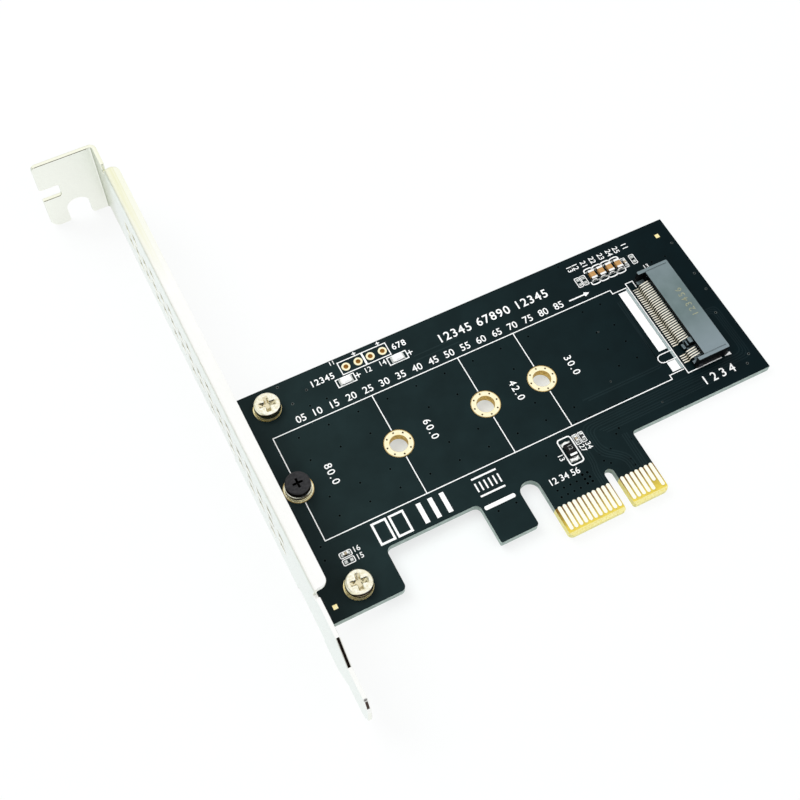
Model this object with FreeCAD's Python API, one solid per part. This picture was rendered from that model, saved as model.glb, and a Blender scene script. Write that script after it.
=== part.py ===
"""Expansion card that carries a slim plug-in storage module, with its slotted metal bracket.

The card lies flat, component side up. Lengths are in millimetres.
Working datum: x along the storage module, y across the card towards the bracket's screw tab,
z up from the board's upper face. Datum zero is the hole for the longest (80 mm) module.
Every finished piece is moved once, so that the origin is the middle of the whole part's underside.
"""
import FreeCAD, Part
import math
import os

os.makedirs("parts", exist_ok=True)

# ---------------------------------------------------------------- circuit board
board_thick = 1.57
board_right = 89.85
board_top = 21.20
board_lower = -16.95
board_corner_r = 0.12
foil = 0.05                      # thickness of every bare metal pad on the board

ear_right = 8.75                 # lower left ear, beside the bracket
ear_below_screw = 4.20            # ear's lower edge below the lower bracket screw
ear_corner_r = 1.0
cutout_r = 1.2

hook_left = 27.25                # retention hook beside the edge connector
hook_width = 7.6
hook_slot = 3.9
hook_corner_r = 0.6

# ---------------------------------------------------------------- edge connector
key_x = 51.08
key_width = 1.90
key_depth = 8.20
edge_bottom = -29.63
edge_left_reach = 12.35          # from the middle of the key slot
edge_right_reach = 8.10
edge_corner_r = 0.9
edge_inner_r = 0.7
bevel_height = 0.65
bevel_depth = 0.30
contact_pitch = 1.00
contact_width = 0.70
contact_first = 1.50             # from the key's middle to the contact beside it
contact_low = 1.03               # contact's lower end above the connector's edge
contact_length = 4.85
contact_end_facets = 6
contact_short = 3.40             # the two presence-detect contacts stop early
contact_left_count = 11
contact_right_count = 7
short_place_front = 6                  # place in the right group
short_place_back = 11                  # place in the left group, counted from the key

# ---------------------------------------------------------------- module holes
module_lengths = (80, 60, 42, 30)
module_width = 22.0
module_seat = 1.45               # underside of a fitted module above the board
ring_outer_d = 5.60
ring_bore_d = 3.50

# ---------------------------------------------------------------- bracket
sheet = 0.80
bracket_face_x = -7.50           # outer face
bracket_width = 18.42
bracket_low_z = -3.30
bracket_length = 120.02
tongue_end_y = -43.10
tab_depth = 12.10
bend_r = 0.50                    # inside radius of every fold
tab_notch_width = 4.60
tab_notch_depth = 5.90
tab_notch_from_face = 5.85
tab_slot_width = 3.10
tab_slot_depth = 3.90
tab_slot_z = 9.95                # slot's middle above the bracket's lower edge
tab_corner_r = 1.0
tab_lower_corner_r = 2.0
tab_mouth_r = 0.9
tab_slot_r = 0.5
shoulder = 4.00
shoulder_rise = 11.15
tongue_tip = 4.2
tongue_tip_length = 1.5
flange_width = 2.95
flange_rise = 19.60               # tongue's end to the flange's lower end
flange_top_gap = 6.92
flange_corner_r = 1.5
relief_width = 1.2
relief_depth = 1.9

vent_flats = 3.10
vent_pitch_z = 4.06
vent_step_y = 4.42
vent_first_y = -10.20
vent_columns = 17

ear_tab_width = 8.0              # the two tabs under the board
ear_tab_reach = 5.6
ear_tab_corner_r = 2.2
board_gap = 0.40                 # board's edge to the bracket

# ---------------------------------------------------------------- bracket screws
screw_x = 1.60
screw_upper_y = 17.10
screw_spacing = 38.10
screw_d = 2.95
screw_length = 3.00
screw_head_d = 4.65
screw_head_h = 2.05
screw_head_round = 0.50           # rounding from the head's side to its top
screw_hole_d = 3.30
thread_hole_d = 3.00
screw_ring_d = 5.30
cross_width = 0.80
cross_span = 3.10
cross_depth = 1.15
cross_turn = -8.0                # how far the driven screws stopped short of square
cross_floor = 0.50               # recess floor's span, as a share of its mouth's

# ---------------------------------------------------------------- module screw and its standoff
standoff_d = 4.90
standoff_groove = 0.25
stud_d = 2.95
stud_length = 3.00
nut_flats = 5.50
nut_height = 1.40
standoff_bore_d = 2.05
module_screw_d = 2.00
module_screw_length = 2.40
module_head_d = 4.65
module_head_h = 1.20
module_cross_width = 0.45
module_cross_span = 2.00
module_cross_depth = 0.80

# ---------------------------------------------------------------- storage socket
socket_width = 22.00
socket_mid_y = -0.12
socket_back_x = 83.85
socket_plate_depth = 5.20
socket_arm_reach = 1.60
socket_arm_width = 0.72
socket_height = 3.10
socket_plate = 0.52
socket_floor = 0.60
socket_back_wall = 2.30
socket_key_width = 1.10
socket_groove = 0.10
pin_margin = 2.00                 # socket's end to the lower row's last contact
pin_width = 0.22
pin_thick = 0.12
lower_pin_counts = (29, 4)
upper_pin_counts = (29, 5)
pin_key_count = 4               # places that the key takes from each row
pin_gap = 0.04
tail_reach = 1.10
peg_d = (1.55, 1.05)
peg_from_end = 1.60
peg_from_back = 2.90
peg_clearance = 0.05
hold_down_width = 0.95
hold_down_height = 1.20
hold_down_thick = 0.25

# ---------------------------------------------------------------- header holes
header_pitch = 2.54
header_first_x = 18.40
header_y = 18.70
header_ring_d = 1.70
header_bore_d = 0.95

# ---------------------------------------------------------------- chips on the upper face
# each size: length, width, height, end-cap length
large_chip = (2.00, 1.25, 0.80, 0.45)
small_chip = (1.00, 0.50, 0.45, 0.25)
cap_wall = 0.04
pad_reach = 0.35                 # pad beyond the end of its chip
coupling_row = (70.40, 1.95, 15.50)         # first x, step, y
coupling_count = 4
socket_capacitor = (77.80, 15.35, 90)
diode_capacitor = (49.20, -13.70, 90)
resistor = (50.45, -13.70, 90)
unfitted_chips = ((67.33, 15.35, 90), (68.55, 15.35, 90), (79.75, 15.35, 90))
screw_capacitor_from = (0.50, 6.20)         # from the lower bracket screw to the capacitor above it
screw_pads_from = (0.50, 4.80)              # and to the bare pads under that capacitor
lamps = ((17.15, 16.05), (27.95, 16.05))
lamp_base = 0.30
lamp_lens = (1.20, 1.15, 0.45)

diode_x = 46.95
diode_y = -15.40
diode_body = (1.60, 2.75, 1.05)
diode_lead_width = 0.60
diode_lead_reach = 0.50
diode_lead_thick = 0.12
diode_pad = (1.90, 0.75)

fiducial = 0.85
fiducial_place = (87.05, 17.90)
fiducial_from_screw = (-5.20, -1.60)        # the second mark, from the lower bracket screw

# ---------------------------------------------------------------- worked-out places
bracket_inner_x = bracket_face_x + sheet
bracket_high_z = bracket_low_z + bracket_width
tab_outer_x = bracket_face_x - tab_depth
tab_y = tongue_end_y + bracket_length      # outer face of the screw tab
shoulder_y = tongue_end_y + shoulder_rise
flange_high_y = tab_y - flange_top_gap
flange_low_y = tongue_end_y + flange_rise
board_left = bracket_inner_x + board_gap
hook_right = hook_left + hook_width
edge_left = key_x - edge_left_reach
edge_right = key_x + edge_right_reach
key_top = edge_bottom + key_depth
screw_lower_y = screw_upper_y - screw_spacing
ear_bottom = screw_lower_y - ear_below_screw
screw_capacitor = (screw_x + screw_capacitor_from[0], screw_lower_y + screw_capacitor_from[1], 0)
screw_pads = (screw_x + screw_pads_from[0], screw_lower_y + screw_pads_from[1], 0)
small_capacitors = (socket_capacitor, screw_capacitor, diode_capacitor)
bare_chips = unfitted_chips + (screw_pads,)
fiducials = (fiducial_place, (screw_x + fiducial_from_screw[0], screw_lower_y + fiducial_from_screw[1]))
socket_front_x = socket_back_x - socket_plate_depth
arm_front_x = socket_front_x - socket_arm_reach
slot_floor_z = module_seat - 0.05
pin_places_lower = sum(lower_pin_counts) + pin_key_count - 1
pin_places_upper = sum(upper_pin_counts) + pin_key_count - 1
pin_pitch = (socket_width - 2 * pin_margin) / pin_places_lower
pin_lower_first = pin_pitch * pin_places_lower / 2
pin_upper_first = pin_pitch * pin_places_upper / 2
key_after = lower_pin_counts[0] - 1 + (pin_key_count + 1) / 2
socket_key_offset = pin_pitch * key_after - (pin_lower_first + pin_upper_first) / 2

frame_x = (tab_outer_x + board_right) / 2
frame_y = (tab_y + tongue_end_y) / 2
frame_z = bracket_low_z

X = FreeCAD.Vector(1, 0, 0)
Y = FreeCAD.Vector(0, 1, 0)
Z = FreeCAD.Vector(0, 0, 1)


# ---------------------------------------------------------------- shape helpers
def at(x, y, z=0.0):
    return FreeCAD.Vector(x, y, z)


def block(x0, x1, y0, y1, z0, z1):
    return Part.makeBox(x1 - x0, y1 - y0, z1 - z0, at(x0, y0, z0))


def rod(d, x, y, z0, z1):
    return Part.makeCylinder(d / 2, z1 - z0, at(x, y, z0))


def tube(outer, inner, x, y, z0, z1):
    return rod(outer, x, y, z0, z1).cut(rod(inner, x, y, z0, z1))


def rounded_wire(corners):
    """Closed wire in the plane z = 0 through (x, y, r) corners, each rounded by its radius."""
    starts = []
    count = len(corners)
    for i, (x, y, r) in enumerate(corners):
        before = at(*corners[i - 1][:2])
        after = at(*corners[(i + 1) % count][:2])
        corner = at(x, y)
        if r <= 0:
            starts.append((corner, None, corner))
            continue
        u = (before - corner).normalize()
        v = (after - corner).normalize()
        half = u.getAngle(v) / 2
        reach = r / math.tan(half)
        middle = (u + v).normalize()
        centre = corner + middle * (r / math.sin(half))
        starts.append((corner + u * reach, centre - middle * r, corner + v * reach))
    edges = []
    for i, (a, mid, b) in enumerate(starts):
        if mid is not None:
            edges.append(Part.Arc(a, mid, b).toShape())
        nxt = starts[(i + 1) % count][0]
        if b.distanceToPoint(nxt) > 1e-4:
            edges.append(Part.makeLine(b, nxt))
    return Part.Wire(edges)


def rounded_plate(corners, z0, z1):
    face = Part.Face(rounded_wire(corners))
    face.translate(at(0, 0, z0))
    return face.extrude(Z * (z1 - z0))


def stand_on_x(shape):
    """Turns a plate drawn in x-y so that its x runs along y, its y along z and its z along x."""
    turned = shape.copy()
    turned.transformShape(FreeCAD.Matrix(0, 0, 1, 0, 1, 0, 0, 0, 0, 1, 0, 0, 0, 0, 0, 1))
    return turned


def stand_on_y(shape):
    """Turns a plate drawn in x-y so that its y runs along z and its z along -y."""
    turned = shape.copy()
    turned.rotate(at(0, 0, 0), X, 90)
    return turned


def turned_about(shape, angle, x, y):
    shape.rotate(at(x, y, 0), Z, angle)
    return shape


def lathe(points, x, y):
    """Solid turned about the upright axis at (x, y) from (radius, z) points."""
    wire = Part.makePolygon([at(r, 0, z) for r, z in points] + [at(points[0][0], 0, points[0][1])])
    solid = Part.Face(wire).revolve(at(0, 0, 0), Z, 360)
    solid.translate(at(x, y, 0))
    return solid


def cross_recess(width, span, depth, x, y, top, turn=0.0):
    """Cross-head driver recess: two blades, tapered towards the floor, that meet at the axis."""
    mouth = span / 2
    floor = mouth * cross_floor
    blade_profile = Part.makePolygon([
        at(-mouth, 0, top + depth), at(mouth, 0, top + depth), at(mouth, 0, top),
        at(floor, 0, top - depth), at(-floor, 0, top - depth), at(-mouth, 0, top),
        at(-mouth, 0, top + depth)])
    blade = Part.Face(blade_profile).extrude(Y * width)
    blade.translate(at(x, y - width / 2, 0))
    first = turned_about(blade, turn, x, y)
    second = turned_about(first.copy(), 90, x, y)
    return first.fuse(second)


def export(node, shapes):
    group = shapes if isinstance(shapes, list) else [shapes]
    solids = []
    for shape in group:
        solids.extend(shape.Solids)
    body = solids[0] if len(solids) == 1 else Part.makeCompound(solids)
    body.translate(at(-frame_x, -frame_y, -frame_z))
    body.exportStep("parts/" + node + ".step")
    print(node, len(solids), "solids, valid", body.isValid(), round(body.Volume, 3))


# ---------------------------------------------------------------- circuit board
def module_hole_x(length):
    return module_lengths[0] - length


def peg_places():
    reach = socket_width / 2 - peg_from_end
    x = socket_back_x - peg_from_back
    return [(x, socket_mid_y + reach, peg_d[0]), (x, socket_mid_y - reach, peg_d[1])]


def header_places():
    return [(header_first_x + header_pitch * i, header_y) for i in range(4)]


def edge_bevels():
    """Wedges that thin both faces of the edge connector towards its lower edge."""
    wedges = []
    for z, inward in ((0.0, -1), (-board_thick, 1)):
        profile = Part.makePolygon([
            at(0, edge_bottom - 0.2, z - inward * 0.2), at(0, edge_bottom + bevel_height, z),
            at(0, edge_bottom, z + inward * bevel_depth), at(0, edge_bottom - 0.2, z + inward * bevel_depth),
            at(0, edge_bottom - 0.2, z - inward * 0.2)])
        wedge = Part.Face(profile).extrude(X * (edge_right - edge_left + 2))
        wedge.translate(at(edge_left - 1, 0, 0))
        wedges.append(wedge)
    return wedges


def circuit_board():
    key_left = key_x - key_width / 2
    key_right = key_x + key_width / 2
    key_r = key_width / 2
    slot_r = (edge_left - hook_right) / 2
    corners = [
        (board_left, board_top, board_corner_r), (board_left, ear_bottom, board_corner_r),
        (ear_right, ear_bottom, ear_corner_r), (ear_right, board_lower, cutout_r),
        (hook_left, board_lower, cutout_r), (hook_left, ear_bottom, hook_corner_r / 2),
        (hook_right, ear_bottom, hook_corner_r), (hook_right, board_lower, slot_r),
        (edge_left, board_lower, slot_r), (edge_left, edge_bottom, edge_corner_r),
        (key_left, edge_bottom, edge_corner_r / 2), (key_left, key_top, key_r),
        (key_right, key_top, key_r), (key_right, edge_bottom, edge_corner_r / 2),
        (edge_right, edge_bottom, edge_corner_r), (edge_right, board_lower, edge_inner_r),
        (board_right, board_lower, board_corner_r), (board_right, board_top, board_corner_r)]
    board = rounded_plate(corners, -board_thick, 0)
    cuts = edge_bevels()
    z0 = -board_thick - 1
    for length in module_lengths:
        cuts.append(rod(ring_bore_d, module_hole_x(length), 0, z0, 1))
    for y in (screw_upper_y, screw_lower_y):
        cuts.append(rod(screw_hole_d, screw_x, y, z0, 1))
    for x, y in header_places():
        cuts.append(rod(header_bore_d, x, y, z0, 1))
    for x, y, d in peg_places():
        cuts.append(rod(d + 2 * peg_clearance, x, y, z0, 1))
    return board.cut(cuts)


def plated_hole(pad_d, bore_d, x, y):
    """Copper pads round a hole, one on each face of the board."""
    upper = tube(pad_d, bore_d, x, y, 0, foil)
    lower = tube(pad_d, bore_d, x, y, -board_thick - foil, -board_thick)
    return [upper, lower]


def edge_contact(x, length, z0):
    """One plated finger with round ends, its upper end always at the same height."""
    top = edge_bottom + contact_low + contact_length
    half = contact_width / 2
    points = []
    for centre_y, start in ((top - half, 0), (top - length + half, 180)):
        for step in range(contact_end_facets + 1):
            a = math.radians(start + 180 * step / contact_end_facets)
            points.append(at(x + half * math.cos(a), centre_y + half * math.sin(a), z0))
    return Part.Face(Part.makePolygon(points + points[:1])).extrude(Z * foil)


def edge_contacts(z0, short_group, short_place):
    fingers = []
    for group, count in ((-1, contact_left_count), (1, contact_right_count)):
        for place in range(1, count + 1):
            x = key_x + group * (contact_first + (place - 1) * contact_pitch)
            is_short = group == short_group and place == short_place
            fingers.append(edge_contact(x, contact_short if is_short else contact_length, z0))
    return fingers


# ---------------------------------------------------------------- bracket
def main_wall_and_tab():
    """Long wall with the screw tab folded outwards at its upper end."""
    outer_r = bend_r + sheet
    corners = [
        (bracket_face_x, tongue_end_y, 0), (bracket_inner_x, tongue_end_y, 0),
        (bracket_inner_x, tab_y, outer_r), (tab_outer_x, tab_y, 0),
        (tab_outer_x, tab_y - sheet, 0), (bracket_face_x, tab_y - sheet, bend_r)]
    return rounded_plate(corners, bracket_low_z, bracket_high_z)


def side_trim():
    """Metal cut away from the lower end of the long wall: sloping shoulders and a tapered tongue."""
    low, high = bracket_low_z, bracket_high_z
    middle = (low + high) / 2
    tip = tongue_tip / 2
    neck_y = shoulder_y - shoulder
    tip_y = tongue_end_y + tongue_tip_length
    far = tongue_end_y - 1
    trims = []
    for edge, side in ((low, -1), (high, 1)):
        neck = edge - side * shoulder
        outer = edge + side
        corners = [(shoulder_y, outer, 0), (shoulder_y, edge, 0), (neck_y, neck, 0), (tip_y, neck, 0.8),
                   (tongue_end_y, middle + side * tip, 0), (far, middle + side * tip, 0), (far, outer, 0)]
        trims.append(stand_on_x(rounded_plate(corners, bracket_face_x - 1, bracket_inner_x + 1)))
    return trims


def tab_cut():
    """Metal cut away round the screw tab: open notch for the case screw, guide slot, round corners."""
    low, high = bracket_low_z, bracket_high_z
    root_x = bracket_face_x - bend_r
    notch_x = bracket_face_x - tab_notch_from_face
    half = tab_notch_width / 2
    notch_top = low + tab_notch_depth
    slot_x = tab_outer_x + tab_slot_depth
    slot_low = low + tab_slot_z - tab_slot_width / 2
    slot_high = slot_low + tab_slot_width
    outline = rounded_plate([
        (tab_outer_x, low, tab_lower_corner_r), (notch_x - half, low, tab_slot_r),
        (notch_x - half, notch_top, half), (notch_x + half, notch_top, half),
        (notch_x + half, low, tab_mouth_r), (root_x, low, 0), (root_x, high, 0),
        (tab_outer_x, high, tab_corner_r), (tab_outer_x, slot_high, tab_slot_r),
        (slot_x, slot_high, tab_slot_r), (slot_x, slot_low, tab_slot_r), (tab_outer_x, slot_low, 0)], 0, 3)
    around = Part.makeBox(root_x - tab_outer_x + 1, bracket_width + 2, 3, at(tab_outer_x - 1, low - 1, 0))
    upright = stand_on_y(around.cut(outline))
    upright.translate(at(0, tab_y + 1, 0))
    return upright


def hexagon_vent(y, z):
    points = []
    for i in range(7):
        a = math.radians(60 * i)
        r = vent_flats / math.sqrt(3)
        points.append(at(bracket_face_x - 1, y + r * math.cos(a), z + r * math.sin(a)))
    return Part.Face(Part.makePolygon(points)).extrude(X * (sheet + 2))


def vents():
    """Staggered columns of two and three hexagons along the long wall."""
    middle = (bracket_low_z + bracket_high_z) / 2
    holes = []
    for column in range(vent_columns):
        rows = 2 + column % 2
        for row in range(rows):
            z = middle + (row - (rows - 1) / 2) * vent_pitch_z
            holes.append(hexagon_vent(vent_first_y + column * vent_step_y, z))
    return holes


def long_flange():
    """Stiffening flange folded from the component-side edge of the long wall, over the board."""
    outer_r = bend_r + sheet
    drop = bracket_high_z - relief_depth
    right = bracket_face_x + flange_width
    section = [
        (bracket_face_x, drop, 0), (bracket_inner_x, drop, 0),
        (bracket_inner_x, bracket_high_z - sheet, bend_r), (right, bracket_high_z - sheet, 0),
        (right, bracket_high_z, 0), (bracket_face_x, bracket_high_z, outer_r)]
    flange = stand_on_y(rounded_plate(section, 0, flange_high_y - flange_low_y))
    flange.translate(at(0, flange_high_y, 0))
    plan = rounded_plate([
        (bracket_face_x - 1, flange_low_y, 0), (right, flange_low_y, flange_corner_r),
        (right, flange_high_y, flange_corner_r), (bracket_face_x - 1, flange_high_y, 0)],
        drop - 1, bracket_high_z + 1)
    return flange.common(plan)


def board_tab(y):
    """Tab folded under the board, with the threaded hole for its screw."""
    outer_r = bend_r + sheet
    top = -board_thick - foil
    low = top - sheet
    section = [
        (bracket_face_x, top + bend_r + sheet, 0), (bracket_face_x, low, outer_r),
        (screw_x + ear_tab_reach / 2 + 1, low, 0), (screw_x + ear_tab_reach / 2 + 1, top, 0),
        (bracket_inner_x, top, bend_r), (bracket_inner_x, top + bend_r + sheet, 0)]
    half = ear_tab_width / 2
    tab = stand_on_y(rounded_plate(section, 0, ear_tab_width))
    tab.translate(at(0, y + half, 0))
    right = screw_x + ear_tab_reach / 2 + 1
    plan = rounded_plate([
        (bracket_face_x - 1, y - half, 0), (right, y - half, ear_tab_corner_r),
        (right, y + half, ear_tab_corner_r), (bracket_face_x - 1, y + half, 0)], low - 1, 1)
    return tab.common(plan).cut(rod(thread_hole_d, screw_x, y, low - 1, top + 1))


def bracket():
    wall = main_wall_and_tab()
    low, high = bracket_low_z, bracket_high_z
    x0, x1 = bracket_face_x - 1, bracket_inner_x + 1
    cuts = side_trim() + [tab_cut()] + vents()
    cuts.append(block(x0, x1, flange_low_y - relief_width, flange_high_y + relief_width,
                      high - relief_depth, high + 1))
    half = ear_tab_width / 2
    tab_root_z = -board_thick - foil + bend_r + sheet
    for y in (screw_upper_y, screw_lower_y):
        cuts.append(block(x0, x1, y - half - relief_width, y + half + relief_width, low - 1, -board_thick))
        cuts.append(block(x0, x1, y - half, y + half, -board_thick - 1, tab_root_z))
    wall = wall.cut(cuts)
    pieces = [long_flange()] + [board_tab(y) for y in (screw_upper_y, screw_lower_y)]
    return wall.fuse(pieces).removeSplitter()


# ---------------------------------------------------------------- screws, standoff and nut
def pan_screw(y):
    """Pan-head machine screw: upright, round-edged head on the board's pad, shank down into the tab."""
    seat = foil
    r = screw_head_d / 2
    top = seat + screw_head_h
    profile = [(0, top), (0.5 * r, top - 0.02)]
    for step in range(5):
        a = math.radians(80 - 20 * step)
        profile.append((r - screw_head_round * (1 - math.cos(a)), top - 0.03 - screw_head_round * (1 - math.sin(a))))
    profile += [(r, seat + 0.12), (r - 0.12, seat),
               (screw_d / 2, seat), (screw_d / 2, seat - screw_length + 0.3),
               (screw_d / 2 - 0.3, seat - screw_length), (0, seat - screw_length)]
    screw = lathe(profile, screw_x, y)
    return screw.cut(cross_recess(cross_width, cross_span, cross_depth, screw_x, y, top, cross_turn))


def standoff():
    """Collar that carries the module's end, with a threaded stud through the board."""
    r = standoff_d / 2
    bore = standoff_bore_d / 2
    stud = stud_d / 2
    groove_z = foil + (module_seat - foil) / 2
    half = standoff_groove / 2
    end = foil - stud_length
    profile = [(bore, module_seat), (r - 0.1, module_seat), (r, module_seat - 0.1),
               (r, groove_z + half), (r - standoff_groove, groove_z), (r, groove_z - half),
               (r, foil), (stud, foil), (stud, end + 0.2), (stud - 0.2, end), (0, end),
               (0, module_seat - module_screw_length - 0.1), (bore, module_seat - module_screw_length - 0.1)]
    return lathe(profile, 0, 0)


def standoff_nut():
    top = -board_thick - foil
    points = []
    for i in range(7):
        a = math.radians(60 * i + 30)
        r = nut_flats / math.sqrt(3)
        points.append(at(r * math.cos(a), r * math.sin(a), top - nut_height))
    body = Part.Face(Part.makePolygon(points)).extrude(Z * nut_height)
    return body.cut(rod(stud_d + 0.05, 0, 0, top - nut_height - 1, top + 1))


def module_screw():
    r = module_head_d / 2
    top = module_seat + module_head_h
    shank = module_screw_d / 2
    end = module_seat - module_screw_length
    profile = [(0, top), (r - 0.25, top), (r - 0.06, top - 0.08), (r, top - 0.25), (r, module_seat + 0.35),
               (r - 0.15, module_seat + 0.15), (r - 0.45, module_seat), (shank, module_seat),
               (shank, end + 0.2), (shank - 0.2, end), (0, end)]
    screw = lathe(profile, 0, 0)
    return screw.cut(cross_recess(module_cross_width, module_cross_span, module_cross_depth, 0, 0, top))


# ---------------------------------------------------------------- storage socket
def pin_rows(first, counts):
    """Heights across the card of every contact in a row, with the key's places left out."""
    ys = [first - pin_pitch * i for i in range(counts[0])]
    start = counts[0] + pin_key_count
    ys += [first - pin_pitch * (start + i) for i in range(counts[1])]
    return ys


def pin_strip(points, y):
    """Flat spring strip that follows (x, z) points, folded by its own thickness."""
    path = [FreeCAD.Vector(x, z, 0) for x, z in points]
    offsets = []
    for i, p in enumerate(path):
        before = path[max(i - 1, 0)]
        after = path[min(i + 1, len(path) - 1)]
        back = (p - before) if i > 0 else (after - p)
        forward = (after - p) if i < len(path) - 1 else (p - before)
        back.normalize()
        forward.normalize()
        n1 = FreeCAD.Vector(-back.y, back.x, 0)
        n2 = FreeCAD.Vector(-forward.y, forward.x, 0)
        middle = (n1 + n2).normalize()
        offsets.append(middle * (pin_thick / 2 / max(middle.dot(n1), 0.5)))
    left = [p + o for p, o in zip(path, offsets)]
    right = [p - o for p, o in zip(path, offsets)]
    loop = left + right[::-1]
    corners = [at(p.x, y - pin_width / 2, p.y) for p in loop]
    return Part.Face(Part.makePolygon(corners + corners[:1])).extrude(Y * pin_width)


def lower_path():
    """Tail on the board, riser and sprung beam under the module's lower contacts."""
    half = pin_thick / 2
    riser_x = arm_front_x - 0.15
    crest_x = socket_front_x + 0.15
    return [(riser_x - tail_reach - 0.1, half), (riser_x - 0.1, half), (riser_x + 0.15, slot_floor_z - 0.45),
            (riser_x + 0.65, slot_floor_z - 0.22), (crest_x - 0.45, slot_floor_z + 0.02),
            (crest_x, slot_floor_z + 0.14), (crest_x + 0.45, slot_floor_z - 0.10),
            (crest_x + 1.6, socket_floor + pin_thick)]


def upper_path():
    """Tail behind the socket, riser in the back wall and sprung beam under the plate."""
    half = pin_thick / 2
    under_plate = socket_height - socket_plate - pin_gap - half
    riser_x = socket_back_x - 0.45
    return [(socket_back_x + 0.75, half), (riser_x, half), (riser_x, under_plate),
            (socket_front_x + 1.5, under_plate), (socket_front_x + 0.9, under_plate - 0.22),
            (socket_front_x + 0.5, under_plate)]


def lower_contacts():
    return [pin_strip(lower_path(), socket_mid_y + y) for y in pin_rows(pin_lower_first, lower_pin_counts)]


def upper_contacts():
    return [pin_strip(upper_path(), socket_mid_y + y) for y in pin_rows(pin_upper_first, upper_pin_counts)]


def pin_bands():
    """Stretches across the socket that each group of contacts takes."""
    margin = pin_pitch / 2
    key_half = socket_key_width / 2
    inner = socket_width / 2 - socket_arm_width
    return [(-socket_key_offset + key_half, inner - 3 * margin), (-inner + 3 * margin, -socket_key_offset - key_half)]


def key_rib():
    """Stepped rib ahead of the plate that enters the notch in the module's edge."""
    y0 = -socket_key_offset - socket_key_width / 2
    y1 = y0 + socket_key_width
    front = block(arm_front_x + 0.55, socket_front_x, y0, y1, 0, slot_floor_z + 0.15)
    rear = block(socket_front_x - 0.75, socket_front_x, y0, y1, 0, slot_floor_z + 1.0)
    return [front, rear]


def socket_housing():
    """Moulded body: back wall, top plate, end arms, key rib and a low floor under the contacts."""
    half = socket_width / 2
    inner = half - socket_arm_width
    plate_low = socket_height - socket_plate
    back_inner_x = socket_back_x - socket_back_wall
    body = rounded_plate([(arm_front_x, -half, 0.25), (socket_back_x, -half, 0.3),
                          (socket_back_x, half, 0.3), (arm_front_x, half, 0.25)], 0, socket_height)
    cuts = [block(arm_front_x - 1, socket_front_x, -inner, inner, socket_floor, socket_height + 1)]
    for y0, y1 in pin_bands():
        cuts.append(block(arm_front_x - 1, back_inner_x, y0, y1, socket_floor, plate_low))
        cuts.append(block(arm_front_x - 1, arm_front_x + 0.60, y0, y1, -1, socket_floor + 1))
        riser = socket_back_x - 0.45
        cuts.append(block(riser - pin_thick, riser + pin_thick, y0, y1, -1, plate_low))
        cuts.append(block(back_inner_x - 1, riser + pin_thick, y0, y1, plate_low - 2 * pin_thick, plate_low))
        cuts.append(block(riser, socket_back_x + 1, y0, y1, -1, 2 * pin_thick))
    cuts.append(block(arm_front_x - 1, socket_front_x + 0.6, -inner + 0.6, inner - 0.6, slot_floor_z + 0.9,
                      plate_low))
    for side in (-1, 1):
        line = side * inner
        cuts.append(block(socket_front_x, socket_back_x - 0.5, line - socket_groove, line + socket_groove,
                          socket_height - socket_groove, socket_height + 1))
    housing = body.cut(cuts).fuse(key_rib())
    for side in (-1, 1):
        housing = housing.cut(hold_down_pocket(side))
    housing.translate(at(0, socket_mid_y, 0))
    pegs = [rod(d, x, y, -board_thick + 0.1, socket_floor / 2) for x, y, d in peg_places()]
    return housing.fuse(pegs).removeSplitter()


def hold_down_pocket(side):
    half = socket_width / 2
    y0, y1 = sorted((side * (half - hold_down_thick), side * (half + 1)))
    x0 = arm_front_x + 0.5
    return block(x0, x0 + hold_down_width, y0, y1, -1, hold_down_height)


def hold_downs():
    """Sheet-metal nails let into both ends of the body, each with a foot soldered to the board."""
    half = socket_width / 2
    x0 = arm_front_x + 0.5
    pieces = []
    for side in (-1, 1):
        wall_y = sorted((side * (half - hold_down_thick), side * half))
        foot_y = sorted((side * (half - hold_down_thick), side * (half + 0.7)))
        wall = block(x0, x0 + hold_down_width, wall_y[0], wall_y[1], foil, hold_down_height)
        foot = block(x0, x0 + hold_down_width, foot_y[0], foot_y[1], foil, foil + hold_down_thick)
        pad_y = sorted((side * half, side * (half + 0.9)))
        pad = block(x0 - 0.2, x0 + hold_down_width + 0.2, pad_y[0], pad_y[1], 0, foil)
        piece = wall.fuse([foot, pad]).removeSplitter()
        piece.translate(at(0, socket_mid_y, 0))
        pieces.append(piece)
    return pieces


# ---------------------------------------------------------------- chips
def chip_body(size, x, y, angle):
    length, width, height, _ = size
    z0 = foil + cap_wall
    body = block(x - length / 2 + cap_wall, x + length / 2 - cap_wall,
                 y - width / 2 + cap_wall, y + width / 2 - cap_wall, z0, z0 + height - 2 * cap_wall)
    return turned_about(body, angle, x, y)


def chip_ends(size, x, y, angle):
    """Soldered caps that wrap both ends of a chip."""
    length, width, height, cap = size
    body = chip_body(size, x, y, 0)
    ends = []
    for side in (-1, 1):
        x0, x1 = sorted((x + side * length / 2, x + side * (length / 2 - cap)))
        end = block(x0, x1, y - width / 2, y + width / 2, foil, foil + height).cut(body)
        ends.append(turned_about(end, angle, x, y))
    return ends


def chip_pads(size, x, y, angle):
    length, width, _, cap = size
    pads = []
    for side in (-1, 1):
        x0, x1 = sorted((x + side * (length / 2 + pad_reach), x + side * (length / 2 - cap)))
        pads.append(turned_about(block(x0, x1, y - width / 2 - 0.05, y + width / 2 + 0.05, 0, foil), angle, x, y))
    return pads


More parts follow.
